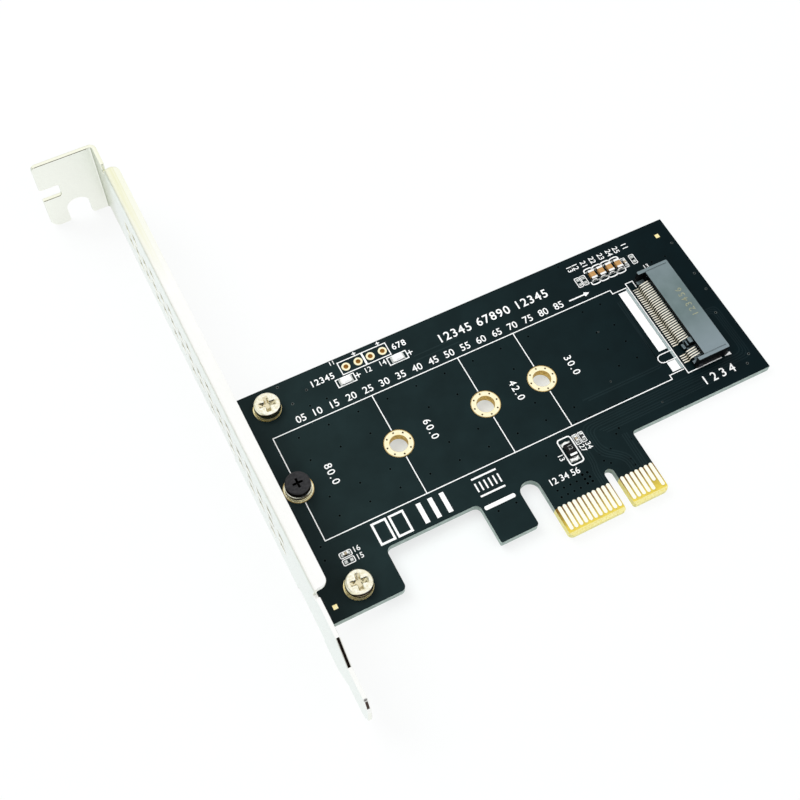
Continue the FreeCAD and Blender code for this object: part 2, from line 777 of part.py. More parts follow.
def lamp_body(x, y):
    """Indicator lamp: pale substrate with a clear domed lens on it."""
    length, width, _, _ = large_chip
    base = block(x - length / 2 + 0.02, x + length / 2 - 0.02, y - width / 2 + 0.02, y + width / 2 - 0.02,
                 foil + cap_wall, foil + cap_wall + lamp_base)
    lens_l, lens_w, lens_h = lamp_lens
    z0 = foil + cap_wall + lamp_base
    low = Part.makePolygon([at(x - lens_l / 2, y - lens_w / 2, z0), at(x + lens_l / 2, y - lens_w / 2, z0),
                            at(x + lens_l / 2, y + lens_w / 2, z0), at(x - lens_l / 2, y + lens_w / 2, z0),
                            at(x - lens_l / 2, y - lens_w / 2, z0)])
    inset = 0.12
    high = Part.makePolygon([
        at(x - lens_l / 2 + inset, y - lens_w / 2 + inset, z0 + lens_h),
        at(x + lens_l / 2 - inset, y - lens_w / 2 + inset, z0 + lens_h),
        at(x + lens_l / 2 - inset, y + lens_w / 2 - inset, z0 + lens_h),
        at(x - lens_l / 2 + inset, y + lens_w / 2 - inset, z0 + lens_h),
        at(x - lens_l / 2 + inset, y - lens_w / 2 + inset, z0 + lens_h)])
    lens = Part.makeLoft([low, high], True, True)
    return base.fuse(lens).removeSplitter()


def lamp_ends(x, y):
    length, width, _, cap = large_chip
    ends = []
    for side in (-1, 1):
        x0, x1 = sorted((x + side * length / 2, x + side * (length / 2 - cap + 0.1)))
        cap_block = block(x0, x1, y - width / 2, y + width / 2, foil, foil + 2 * cap_wall + lamp_base)
        ends.append(cap_block.cut(lamp_body(x, y)))
    return ends


def diode_housing():
    """Moulded body with drafted sides and a shallow polarity band."""
    width, length, height = diode_body
    draft = 0.10
    z0 = foil + diode_lead_thick + 0.02
    middle = z0 + 0.45 * (height - z0)
    rings = []
    for inset, z in ((draft, z0), (0.0, middle), (draft, foil + height)):
        x0, x1 = diode_x - width / 2 + inset, diode_x + width / 2 - inset
        y0, y1 = diode_y - length / 2 + inset, diode_y + length / 2 - inset
        rings.append(Part.makePolygon([at(x0, y0, z), at(x1, y0, z), at(x1, y1, z), at(x0, y1, z), at(x0, y0, z)]))
    body = Part.makeLoft(rings, True, True)
    notches = []
    for lead in diode_leads():
        notches.append(lead)
    return body.cut(notches)


def diode_leads():
    """Flat leads that leave the body at half height and step down to the pads."""
    width, length, height = diode_body
    t = diode_lead_thick
    leads = []
    for side in (-1, 1):
        inner = diode_y + side * (length / 2 - 0.35)
        face = diode_y + side * length / 2
        knee = face + side * 0.12
        end = face + side * diode_lead_reach
        mid_z = 0.45 * height
        profile = [at(0, inner, mid_z), at(0, knee, mid_z), at(0, knee + side * 0.08, foil + t),
                   at(0, end, foil + t), at(0, end, foil), at(0, knee - side * 0.02, foil),
                   at(0, knee - side * 0.10, mid_z - t), at(0, inner, mid_z - t), at(0, inner, mid_z)]
        lead = Part.Face(Part.makePolygon(profile)).extrude(X * diode_lead_width)
        lead.translate(at(diode_x - diode_lead_width / 2, 0, 0))
        leads.append(lead)
    return leads


def diode_pads():
    pad_w, pad_l = diode_pad
    _, length, _ = diode_body
    pads = []
    for side in (-1, 1):
        y = diode_y + side * (length / 2 + diode_lead_reach / 2)
        pads.append(block(diode_x - pad_w / 2, diode_x + pad_w / 2, y - pad_l / 2, y + pad_l / 2, 0, foil))
    return pads


def coupling_places():
    first, step, y = coupling_row
    return [(first + step * i, y) for i in range(coupling_count)]


def component_pads():
    pads = diode_pads()
    for x, y in coupling_places():
        pads += chip_pads(large_chip, x, y, 90)
    for x, y, angle in small_capacitors + bare_chips + (resistor,):
        pads += chip_pads(small_chip, x, y, angle)
    for x, y in lamps:
        pads += chip_pads(large_chip, x, y, 0)
    return pads


# ---------------------------------------------------------------- build every node
export("circuit_board", circuit_board())
export("bracket", bracket())
for module_length in module_lengths:
    export("module_hole_ring_%d" % module_length,
           plated_hole(ring_outer_d, ring_bore_d, module_hole_x(module_length), 0))
for name, place_y in (("upper", screw_upper_y), ("lower", screw_lower_y)):
    export("screw_hole_ring_" + name, plated_hole(screw_ring_d, screw_hole_d, screw_x, place_y))
    export("bracket_screw_" + name, pan_screw(place_y))
export("module_standoff", standoff())
export("standoff_nut", standoff_nut())
export("module_screw", module_screw())
export("edge_contacts_front", edge_contacts(0, 1, short_place_front))
export("edge_contacts_back", edge_contacts(-board_thick - foil, -1, short_place_back))
export("socket_housing", socket_housing())
export("socket_contacts_lower", lower_contacts())
export("socket_contacts_upper", upper_contacts())
export("socket_hold_downs", hold_downs())
header = [plated_hole(header_ring_d, header_bore_d, x, y) for x, y in header_places()]
export("power_header_rings", header[0] + header[1])
export("activity_header_rings", header[2] + header[3])
for i, (x, y) in enumerate(coupling_places(), 1):
    export("coupling_capacitor_%d_body" % i, chip_body(large_chip, x, y, 90))
    export("coupling_capacitor_%d_ends" % i, chip_ends(large_chip, x, y, 90))
for i, (x, y, angle) in enumerate(small_capacitors, 1):
    export("small_capacitor_%d_body" % i, chip_body(small_chip, x, y, angle))
    export("small_capacitor_%d_ends" % i, chip_ends(small_chip, x, y, angle))
export("resistor_body", chip_body(small_chip, *resistor))
export("resistor_ends", chip_ends(small_chip, *resistor))
for i, (x, y) in enumerate(lamps, 1):
    export("indicator_lamp_%d_body" % i, lamp_body(x, y))
    export("indicator_lamp_%d_ends" % i, lamp_ends(x, y))
export("diode_body", diode_housing())
export("diode_leads", diode_leads())
export("component_pads", component_pads())
export("fiducial_marks", [block(x - fiducial / 2, x + fiducial / 2, y - fiducial / 2, y + fiducial / 2, 0, foil)
                          for x, y in fiducials])
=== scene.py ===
import math

import bmesh
import bpy
from mathutils import Matrix, Vector


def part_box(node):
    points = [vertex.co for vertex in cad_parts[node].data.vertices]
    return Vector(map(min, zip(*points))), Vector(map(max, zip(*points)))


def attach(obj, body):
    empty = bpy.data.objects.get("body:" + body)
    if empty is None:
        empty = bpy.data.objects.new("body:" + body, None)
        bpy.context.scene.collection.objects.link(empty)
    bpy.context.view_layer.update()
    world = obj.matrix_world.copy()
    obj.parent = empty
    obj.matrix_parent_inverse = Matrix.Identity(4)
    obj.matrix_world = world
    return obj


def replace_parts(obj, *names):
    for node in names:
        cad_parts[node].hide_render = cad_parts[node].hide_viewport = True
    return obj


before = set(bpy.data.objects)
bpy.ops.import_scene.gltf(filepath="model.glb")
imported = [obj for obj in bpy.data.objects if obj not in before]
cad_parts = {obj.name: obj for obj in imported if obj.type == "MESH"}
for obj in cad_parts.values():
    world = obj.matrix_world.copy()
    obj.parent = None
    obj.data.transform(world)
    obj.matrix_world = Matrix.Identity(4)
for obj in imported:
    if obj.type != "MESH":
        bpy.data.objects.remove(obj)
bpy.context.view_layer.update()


# ---- Circuit board -----------------------
# A glass-epoxy laminate, 1.57 mm thick, pressed with copper foil and routed to its outline. Both
# faces carry black solder mask with a cool tint, left off around the edge contacts, where the bare
# amber laminate shows. The routed edges are raw and pale.

MM = 0.001
board_low, board_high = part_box("circuit_board")
seat_low, seat_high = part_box("module_hole_ring_80")
seat = (seat_low + seat_high) / 2


def at(x, y, z=0.0):
    """A place on the card in mm, from the far module hole and up from the board's upper face."""
    return Vector((seat.x + x * MM, seat.y + y * MM, board_high.z + z * MM))


def new_finish(name, metallic=0.0, specular=0.5):
    """An empty finish: its material, its node tree and its shader."""
    finish = bpy.data.materials.new(name)
    finish.use_nodes = True
    shader = finish.node_tree.nodes["Principled BSDF"]
    shader.inputs["Metallic"].default_value = metallic
    shader.inputs["Specular IOR Level"].default_value = specular
    return finish, finish.node_tree, shader


def connect(tree, value, socket):
    """Links a node's output to a socket, or sets a constant on it."""
    if isinstance(value, bpy.types.NodeSocket):
        tree.links.new(value, socket)
    else:
        socket.default_value = value


def calculate(tree, operation, first, second=0.0):
    node = tree.nodes.new("ShaderNodeMath")
    node.operation = operation
    connect(tree, first, node.inputs[0])
    connect(tree, second, node.inputs[1])
    return node.outputs[0]


def product(tree, *values):
    """Several values multiplied; for masks, where every one of them is on."""
    whole = values[0]
    for value in values[1:]:
        whole = calculate(tree, "MULTIPLY", whole, value)
    return whole


def below(tree, value, limit):
    return calculate(tree, "LESS_THAN", value, limit)


def above(tree, value, limit):
    return calculate(tree, "GREATER_THAN", value, limit)


def speckle(tree, size, stretch=(1, 1, 1), turn=0.0):
    """Random mottling with spots of about one size in mm, stretched along the grain."""
    coordinates = tree.nodes.new("ShaderNodeTexCoord")
    mapping = tree.nodes.new("ShaderNodeMapping")
    mapping.inputs["Scale"].default_value = stretch
    mapping.inputs["Rotation"].default_value = (0, 0, turn)
    noise = tree.nodes.new("ShaderNodeTexNoise")
    noise.inputs["Scale"].default_value = 1 / (size * MM)
    noise.inputs["Detail"].default_value = 3.0
    tree.links.new(coordinates.outputs["Object"], mapping.inputs["Vector"])
    tree.links.new(mapping.outputs["Vector"], noise.inputs["Vector"])
    return noise.outputs["Fac"]


def spread(tree, value, low, high, from_low=0.3, from_high=0.7):
    """Maps a value onto a new range, from the mottling's own range unless told otherwise."""
    node = tree.nodes.new("ShaderNodeMapRange")
    connect(tree, value, node.inputs["Value"])
    node.inputs["From Min"].default_value = from_low
    node.inputs["From Max"].default_value = from_high
    node.inputs["To Min"].default_value = low
    node.inputs["To Max"].default_value = high
    return node.outputs["Result"]


def mix_colours(tree, amount, first, second):
    node = tree.nodes.new("ShaderNodeMix")
    node.data_type = "RGBA"
    connect(tree, amount, node.inputs[0])
    for colour, socket in ((first, node.inputs[6]), (second, node.inputs[7])):
        connect(tree, colour if isinstance(colour, bpy.types.NodeSocket) else (*colour, 1), socket)
    return node.outputs[2]


def mottle(tree, size, first, second, most=1.0, stretch=(1, 1, 1)):
    """Two colours in spots of about one size in mm."""
    return mix_colours(tree, spread(tree, speckle(tree, size, stretch), 0, most), first, second)


def dress(tree, shader, colour, roughness, size=0.3, stretch=(1, 1, 1)):
    """Gives a shader its colour, and a roughness between two values in spots of a size in mm."""
    connect(tree, colour, shader.inputs["Base Color"])
    connect(tree, spread(tree, speckle(tree, size, stretch), *roughness), shader.inputs["Roughness"])


def relief(tree, shader, height, depth, strength):
    """Raises and sinks the surface by a depth in mm where a pattern is light or dark."""
    node = tree.nodes.new("ShaderNodeBump")
    node.inputs["Strength"].default_value = strength
    node.inputs["Distance"].default_value = depth * MM
    connect(tree, height, node.inputs["Height"])
    tree.links.new(node.outputs["Normal"], shader.inputs["Normal"])


def split(tree, vector):
    parts = tree.nodes.new("ShaderNodeSeparateXYZ")
    tree.links.new(vector, parts.inputs[0])
    return parts.outputs


def place(tree):
    """The surface's place in the card's frame, as three outputs."""
    return split(tree, tree.nodes.new("ShaderNodeTexCoord").outputs["Object"])


def facing(tree):
    """The way the surface faces in the card's frame, as three outputs."""
    return split(tree, tree.nodes.new("ShaderNodeNewGeometry").outputs["Normal"])


def facing_up(tree):
    """How squarely the surface faces up or down, from 0 to 1."""
    return calculate(tree, "ABSOLUTE", facing(tree)["Z"])


def skin_of(name):
    """A working copy of a CAD node's mesh, with its seams closed."""
    skin = bmesh.new()
    skin.from_mesh(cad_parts[name].data)
    bmesh.ops.remove_doubles(skin, verts=skin.verts, dist=0.002 * MM)
    return skin


def fit(name, mesh, finish, smooth_below=None):
    """Makes a finished mesh into one named piece of the card."""
    bmesh.ops.recalc_face_normals(mesh, faces=mesh.faces)
    data = bpy.data.meshes.new(name)
    mesh.to_mesh(data)
    mesh.free()
    if smooth_below is not None:
        data.shade_smooth()
        data.set_sharp_from_angle(angle=math.radians(smooth_below))
    data.materials.append(finish)
    piece = bpy.data.objects.new(name, data)
    bpy.context.scene.collection.objects.link(piece)
    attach(piece, "root")
    return piece


# Mask tints with painted light: lit near the bracket, dimmer far from it, and painted shade right by the
# bracket.
mask_shade_by_bracket = (0.004, 0.005, 0.006)
mask_lit_near = (0.0135, 0.0265, 0.0275)
mask_shaded_far = (0.0012, 0.0068, 0.0088)
laminate_amber = (0.80, 0.64, 0.10)
laminate_deep = (0.20, 0.11, 0.02)
laminate_bevel = (0.92, 0.88, 0.46)
laminate_edge = (0.56, 0.65, 0.61)
laminate_edge_dark = (0.20, 0.26, 0.24)
mask_end_y = -23.95
bare_from_x = 37.5
flat_enough = 0.97
weave_turn = 0.785


def mask_shade(tree, lift=1.0):
    """The mask's tint, with painted light: paler near the bracket and darker far from it, with painted shade
    right by the bracket, and lifted a little over copper.
    """
    across = place(tree)["X"]
    far = spread(tree, across, 0, 1, at(-4, 0).x, at(88, 0).x)
    tints = [mix_colours(tree, far, [part * shade * lift for part in mask_lit_near],
                         [part * shade * lift for part in mask_shaded_far]) for shade in (0.86, 1.14)]
    clear_of_bracket_shade = spread(tree, across, 0.55, 1.0, at(-5, 0).x, at(5, 0).x)
    return mix_colours(tree, clear_of_bracket_shade, mask_shade_by_bracket, mottle(tree, 5.0, *tints))


board_finish, tree, shader = new_finish("board_mask_and_laminate", specular=0.05)
where = place(tree)
toward_foot = spread(tree, where["Y"], 1.0, 0.0, at(0, -29.2).y, at(0, -24.5).y)
toward_foot = calculate(tree, "ADD", toward_foot, spread(tree, speckle(tree, 0.7), -0.12, 0.12))
bare_colour = mix_colours(tree, toward_foot, laminate_deep, laminate_amber)
bevel_colour = mottle(tree, 0.25, laminate_bevel, laminate_amber, 0.7)
edge_colour = mottle(tree, 0.35, laminate_edge_dark, laminate_edge, stretch=(0.25, 0.25, 3.0))
bare = product(tree, below(tree, where["Y"], at(0, mask_end_y).y),
               above(tree, where["X"], at(bare_from_x, 0).x))
face_colour = mix_colours(tree, bare, mask_shade(tree), bare_colour)
side_colour = mix_colours(tree, bare, edge_colour, bevel_colour)
board_colour = mix_colours(tree, below(tree, facing_up(tree), flat_enough), face_colour, side_colour)
dress(tree, shader, board_colour, (0.34, 0.44), 1.6)
relief(tree, shader, speckle(tree, 0.40, (1, 1, 0.3), weave_turn), 0.008, 0.7)

board_piece = fit("board_skin", skin_of("circuit_board"), board_finish, 30)
for face in board_piece.data.polygons:
    heights = [board_piece.data.vertices[corner].co.z for corner in face.vertices]
    face.use_smooth = max(heights) - min(heights) > 0.5 * MM
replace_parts(board_piece, "circuit_board")


# ---- Copper tracks under the mask --------
# Etched copper foil that the mask covers. It shows only as slightly raised lines, a shade lighter
# than the mask: matched runs from the socket round to the edge contacts, and wider ones below.

track_height = 0.012
track_width = 0.25
track_pitch = 0.48
track_end_y = -23.6
back_pitch = 0.62
back_width = 0.22
wide_pitch = 0.77
wide_width = 0.5
under = (board_low.z - board_high.z) / MM


def eased(places, radius, closed=False):
    """The places along a line, with each turn drawn as a short curve."""
    spots = [Vector(spot) for spot in places]
    eased_spots = []
    for k, corner in enumerate(spots):
        if not closed and k in (0, len(spots) - 1):
            eased_spots.append(corner)
            continue
        back = spots[k - 1] - corner
        ahead = spots[(k + 1) % len(spots)] - corner
        first = corner + back.normalized() * min(radius, back.length * 0.49)
        last = corner + ahead.normalized() * min(radius, ahead.length * 0.49)
        for step in range(6):
            t = step / 5
            eased_spots.append((1 - t) ** 2 * first + 2 * t * (1 - t) * corner + t ** 2 * last)
    return eased_spots


def thicken(mesh, faces, height):
    """Draws flat faces up into a solid with a height in mm."""
    drawn = bmesh.ops.extrude_face_region(mesh, geom=faces)["geom"]
    bmesh.ops.translate(mesh, verts=[part for part in drawn if isinstance(part, bmesh.types.BMVert)],
                        vec=(0, 0, height * MM))


def route(mesh, places, width, low, high, radius=0.0, closed=False):
    """One line through several places, mitred or rounded at its turns, in mm."""
    spots = eased(places, radius, closed) if radius else [Vector(spot) for spot in places]
    rows = []
    for k, spot in enumerate(spots):
        back = spot - spots[k - 1] if closed or k else spots[1] - spot
        ahead = spots[(k + 1) % len(spots)] - spot if closed or k < len(spots) - 1 else back
        along = (back.normalized() + ahead.normalized()).normalized()
        reach = Vector((-along.y, along.x)) * width / 2 / max(0.4, along.dot(ahead.normalized()))
        rows.append([mesh.verts.new(at(*(spot + reach * side), low)) for side in (-1, 1)])
    ribbon = [mesh.faces.new((*first, *reversed(second)))
              for first, second in zip(rows, rows[1:] + rows[:1] if closed else rows[1:])]
    thicken(mesh, ribbon, high - low)


track_finish, tree, shader = new_finish("mask_over_copper", specular=0.09)
# The mask's painted light and painted shade carry over to the covered copper, lifted by it.
dress(tree, shader, mask_shade(tree, 1.3), (0.30, 0.40), 1.0)

tracks = bmesh.new()


def track(places, radius=0.0):
    route(tracks, places, track_width, 0, track_height, radius)


for k in range(4):
    step = k * track_pitch
    inside = (3 - k) * track_pitch
    start_y = -2.1 + inside * 0.8
    end_x = 87.0 + inside * 0.9
    track([(85.6, start_y), (end_x, start_y), (end_x, -13.34 + step), (51.2 + inside, -13.34 + step),
           (51.2 + inside, -17.4 - step * 0.6), (55.0 + inside, -20.6 - step * 0.4),
           (55.0 + inside, track_end_y)], 1.6)
for k in range(3):
    step = k * track_pitch
    track([(80.0, -14.0 - step), (54.0 + step, -14.0 - step)])
    track([(50.1 - step, -15.4), (50.1 - step, -19.4), (49.6 - step, -20.6), (49.6 - step, track_end_y)], 1.0)
    track([(57.2 + step, -16.6), (57.2 + step, track_end_y)])
for k in range(2):
    track([(54.4 + k, -7.4 - k * 0.5), (71.6, -7.4 - k * 0.5), (71.6 + k * 0.5, 8.0)], 0.8)
    track([(30.8, 14.0 + k), (40.0, 14.0 + k)])
fit("copper_tracks_front", tracks, track_finish)

back_tracks = bmesh.new()
for k in range(8):
    step = k * back_pitch
    start_x = 40.5 + step * 1.6
    route(back_tracks, [(start_x, -23.4), (start_x, -16.0 - step), (47.0 + step, -9.5 + step * 0.4),
                        (83.0, -9.5 + step * 0.4)], back_width, under - track_height, under)
for k in range(3):
    step = k * wide_pitch
    route(back_tracks, [(12.0, 13.2 + step), (66.0, 13.2 + step), (72.0, 8.0 + step), (81.0, 8.0 + step)],
          wide_width, under - track_height, under)
fit("copper_tracks_back", back_tracks, track_finish)


# ---- Via holes ---------------------------
# Small plated holes that join the layers. Most are covered by the mask and show as a low collar
# with a dark disc of painted shade for the hole; a few by the edges keep a tinned collar.

via_outer = 0.30
via_inner = 0.21
via_height = 0.012
tinned_outer = 0.29
tinned_inner = 0.18
tinned_height = 0.02
module_hole_x = (0, 20, 38, 50)


def collar(mesh, x, y, outer, inner, height, base=0.0, depth=0.010, segments=14):
    """A low round collar with a shallow cup inside it, in mm."""
    solid = bmesh.ops.create_cone(mesh, cap_ends=True, segments=segments, radius1=outer * MM,
                                  radius2=(outer - height) * MM, depth=height * MM,
                                  matrix=Matrix.Translation(at(x, y, base + height / 2)))
    top = max((face for vert in solid["verts"] for face in vert.link_faces),
              key=lambda face: face.calc_center_median().z)
    bmesh.ops.inset_individual(mesh, faces=[top], thickness=(outer - height - inner) * MM, depth=0)
    bmesh.ops.inset_individual(mesh, faces=[top], thickness=0.02 * MM, depth=-depth * MM)


def disc(mesh, x, y, radius, low, high, segments=14):
    bmesh.ops.create_cone(mesh, cap_ends=True, segments=segments, radius1=radius * MM, radius2=radius * MM,
                          depth=(high - low) * MM, matrix=Matrix.Translation(at(x, y, (low + high) / 2)))


def mottled_finish(name, first, second, size, roughness, rough_size=0.3, metallic=0.0, specular=0.5):
    """A finish of two colours in spots of a size in mm, with a roughness between two values."""
    finish, tree, shader = new_finish(name, metallic, specular)
    dress(tree, shader, mottle(tree, size, first, second), roughness, rough_size)
    return finish


# Dark discs of painted shade stand for the insides of the via holes.
hole_shade_finish = mottled_finish("painted_hole_shade", (0.0001, 0.0002, 0.0002), (0.0006, 0.0008, 0.0008), 0.2,
                                  (0.9, 0.9), specular=0.0)
# Tinned collars drawn dim and grey-green.
dim_tin_finish = mottled_finish("dull_tin", (0.015, 0.02, 0.02), (0.13, 0.155, 0.15), 0.25, (0.4, 0.4),
                             metallic=0.7)

covered_vias = [(4.3 + 6.0 * column, row) for row in (9.15, 4.15, -3.85, -7.9) for column in range(9)]
covered_vias = [(x, y) for x, y in covered_vias
                if not any(abs(x - hole_x) < 3.6 and abs(y) < 4.2 for hole_x in module_hole_x)]
covered_vias += [(64.4 + 4.0 * column, row) for row in (9.2, 4.0, -0.1, -4.1) for column in range(2)]
covered_vias += [(41.0 + 1.33 * column, -21.0 - 1.4 * row) for column in range(4) for row in range(2)]
covered_vias += [(42.65, -14.15), (51.5, -18.15), (51.5, -19.7), (52.4, -20.65), (53.85, -18.15),
                 (56.35, -16.05), (57.4, -15.3), (56.0, -21.5), (56.1, -22.85), (58.25, -18.2), (51.1, -10.6),
                 (53.9, -10.7), (61.9, -10.7), (65.5, 20.3), (82.7, 13.1), (85.8, 13.1), (8.9, 14.2),
                 (12.3, 14.2), (-1.2, -11.7), (-1.6, -14.3), (29.7, -19.7), (33.3, -19.7)]
large_vias = [(46.55 + 1.05 * column, -20.3 - 0.95 * row) for column in range(2) for row in range(3)]
covered = bmesh.new()
covered_hole_shades = bmesh.new()
for vias, grow in ((covered_vias, 1.0), (large_vias, 1.25)):
    for x, y in vias:
        collar(covered, x, y, via_outer * grow, via_inner * grow, via_height)
        disc(covered_hole_shades, x, y, via_inner * grow - 0.01, 0.004, 0.011)
fit("covered_vias", covered, track_finish, 30)
fit("covered_via_hole_shades", covered_hole_shades, hole_shade_finish)

tinned_vias = [(5.1, 20.4), (6.2, 16.0), (9.7, 17.5), (88.8, 15.2), (88.8, 7.1), (88.8, 3.0), (87.4, -2.4),
               (87.8, -12.9), (86.4, -14.5)]
small_tinned_vias = [(61.2, -6.3), (42.0, 11.2), (64.8, 4.0), (67.5, -14.3)]
tinned = bmesh.new()
tinned_hole_shades = bmesh.new()
for vias, grow in ((tinned_vias, 1.0), (small_tinned_vias, 0.7)):
    for x, y in vias:
        collar(tinned, x, y, tinned_outer * grow, tinned_inner * grow, tinned_height)
        disc(tinned_hole_shades, x, y, (tinned_inner - 0.01) * grow, 0.005, 0.019)
fit("tinned_vias", tinned, dim_tin_finish, 30)
fit("tinned_via_hole_shades", tinned_hole_shades, hole_shade_finish)


# ---- Gold-plated holes and contacts ------
# Electroless nickel with a flash of gold on copper. A thin barrel lines each module hole and header
# hole, and each big ring is stitched through the board by a circle of eight vias.

foil = 0.05
barrel_wall = 0.03
barrel_top = foil - 0.005
module_bore = 1.75
header_bore = 0.475
ring_via_circle = 2.30


def coat(finish, *names):
    """Gives CAD nodes their finish."""
    for name in names:
        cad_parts[name].data.materials.clear()
        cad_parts[name].data.materials.append(finish)


def card_place(name):
    """The middle of a CAD node, in the card's mm."""
    low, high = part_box(name)
    middle = ((low + high) / 2 - seat) / MM
    return middle.x, middle.y


def barrel(mesh, x, y, radius, wall, low, high, segments=40):
    """A thin tube lining a hole: a closed strip spun right round the hole's line."""
    corners = [mesh.verts.new(at(x + r, y, z)) for r, z in
               ((radius - wall, low), (radius, low), (radius, high), (radius - wall, high))]
    strip = [mesh.edges.new((corners[i], corners[(i + 1) % 4])) for i in range(4)]
    bmesh.ops.spin(mesh, geom=corners + strip, cent=at(x, y), axis=(0, 0, 1), angle=math.tau,
                   steps=segments, use_merge=True)


gold_finish, tree, shader = new_finish("flash_gold", metallic=1.0)
dress(tree, shader, mottle(tree, 0.8, (1.0, 0.96, 0.71), (1.0, 0.87, 0.48), 0.55), (0.22, 0.36), 0.4)
relief(tree, shader, speckle(tree, 0.25), 0.01, 0.3)
warm_gold_finish = mottled_finish("warm_gold", (1.0, 0.94, 0.58), (1.0, 0.82, 0.36), 0.5, (0.22, 0.36),
                                  metallic=1.0)
contact_finish, tree, shader = new_finish("hard_gold_contact", metallic=1.0)
contact_colour = mottle(tree, 1.2, (1.0, 1.0, 0.90), (1.0, 0.97, 0.74), 0.6, (4, 1, 1))
dress(tree, shader, contact_colour, (0.20, 0.34), 0.3, (6, 0.6, 1))

module_numbers = ("80", "60", "42", "30")
module_rings = [f"module_hole_ring_{number}" for number in module_numbers]
module_places = [card_place(name) for name in module_rings]
header_rings = ("power_header_rings", "activity_header_rings")
coat(gold_finish, *module_rings, *header_rings)
coat(warm_gold_finish, "screw_hole_ring_upper", "screw_hole_ring_lower", "fiducial_marks")
coat(contact_finish, "edge_contacts_front", "edge_contacts_back")

bore_finish = mottled_finish("gold_lined_bore", (0.90, 0.66, 0.20), (0.45, 0.28, 0.06), 0.5, (0.5, 0.5),
                             metallic=0.85)
barrels = bmesh.new()
for x, y in module_places[1:]:
    barrel(barrels, x, y, module_bore, barrel_wall, under - foil, barrel_top)
fit("hole_barrels", barrels, bore_finish, 40)

header_bore_finish = mottled_finish("gold_lined_small_bore", (0.80, 0.42, 0.03), (0.45, 0.20, 0.012), 0.5,
                                    (0.5, 0.5), metallic=0.85)
small_barrels = bmesh.new()
for name in header_rings:
    low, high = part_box(name)
    x, y = card_place(name)
    half_pitch = ((high.x - low.x) - (high.y - low.y)) / MM / 2
    for pin_x in (x - half_pitch, x + half_pitch):
        barrel(small_barrels, pin_x, y, header_bore, barrel_wall, under - foil, barrel_top, 24)
fit("header_hole_barrels", small_barrels, header_bore_finish, 40)

# A dark gold rim round each module ring is a painted shadow of the mask's edge.
rim_shadow_finish = mottled_finish("gold_ring_rim_shadow", (0.62, 0.44, 0.16), (0.42, 0.28, 0.08), 0.5, (0.5, 0.5),
                            metallic=0.85)
rim_shadow_mesh = bmesh.new()
for name, (x, y) in zip(module_rings, module_places):
    low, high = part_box(name)
    barrel(rim_shadow_mesh, x, y, (high.x - low.x) / 2 / MM, 0.13, foil - 0.01, foil + 0.004)
fit("ring_rim_shadows", rim_shadow_mesh, rim_shadow_finish, 40)

# Dark discs in the ring vias are painted shade for the holes, tinted brown by the gold lining.
ring_hole_shade_finish = mottled_finish("gold_lined_hole_shade", (0.05, 0.025, 0.005), (0.14, 0.07, 0.015), 0.15,
                                  (0.55, 0.55), metallic=0.6)
ring_hole_shades = bmesh.new()
ring_collars = bmesh.new()
for x, y in module_places:
    for eighth in range(8):
        angle = math.tau * eighth / 8
        via_x = x + ring_via_circle * math.cos(angle)
        via_y = y + ring_via_circle * math.sin(angle)
        collar(ring_collars, via_x, via_y, 0.24, 0.19, 0.010, foil, 0.008, 12)
        disc(ring_hole_shades, via_x, via_y, 0.18, foil + 0.002, foil + 0.009, 12)
fit("ring_via_collars", ring_collars, gold_finish, 30)
fit("ring_via_hole_shades", ring_hole_shades, ring_hole_shade_finish)


# ---- White legend ------------------------
# Epoxy ink screened onto the mask, 0.02 mm thick: the module's outline with its cross lines, boxes
# round the small parts, plain numbers, a scale, and plain check boxes and bars.

ink_height = 0.02
line_width = 0.19
ring_gap = 2.95
outline_half = 11.05
outline_end_x = 71.8
step_half = 10.15
step_end_x = 75.0
key_low = -7.4
key_high = -5.6
number_gap = 6.6


def bar(mesh, start, end, width, low, high):
    """A straight block between two places on the card, all in mm."""
    run = Vector(end) - Vector(start)
    middle = (Vector(start) + Vector(end)) / 2
    centre = Matrix.Translation(at(middle.x, middle.y, (low + high) / 2))
    turned = Matrix.Rotation(math.atan2(run.y, run.x), 4, "Z")
    size = Matrix.Diagonal((run.length * MM, width * MM, (high - low) * MM, 1))
    bmesh.ops.create_cube(mesh, size=1.0, matrix=centre @ turned @ size)


def dash(mesh, start, end, width=line_width, height=ink_height):
    """A straight inked line between two places, in mm."""
    bar(mesh, start, end, width, 0, height)


def inked(mesh, places, width=line_width, radius=0.0, closed=False):
    """One inked line through several places, in mm."""
    route(mesh, places, width, 0, ink_height, radius, closed)


def plate(mesh, places):
    """A flat inked shape with a given outline, in mm."""
    thicken(mesh, [mesh.faces.new([mesh.verts.new(at(x, y)) for x, y in places])], ink_height)


def box_outline(mesh, x_low, x_high, y_low, y_high, width=0.16, radius=0.0):
    inked(mesh, [(x_low, y_low), (x_high, y_low), (x_high, y_high), (x_low, y_high)], width, radius, True)


def plus(mesh, x, y, size, width=0.2):
    dash(mesh, (x - size / 2, y), (x + size / 2, y), width)
    dash(mesh, (x, y - size / 2), (x, y + size / 2), width, ink_height + 0.002)


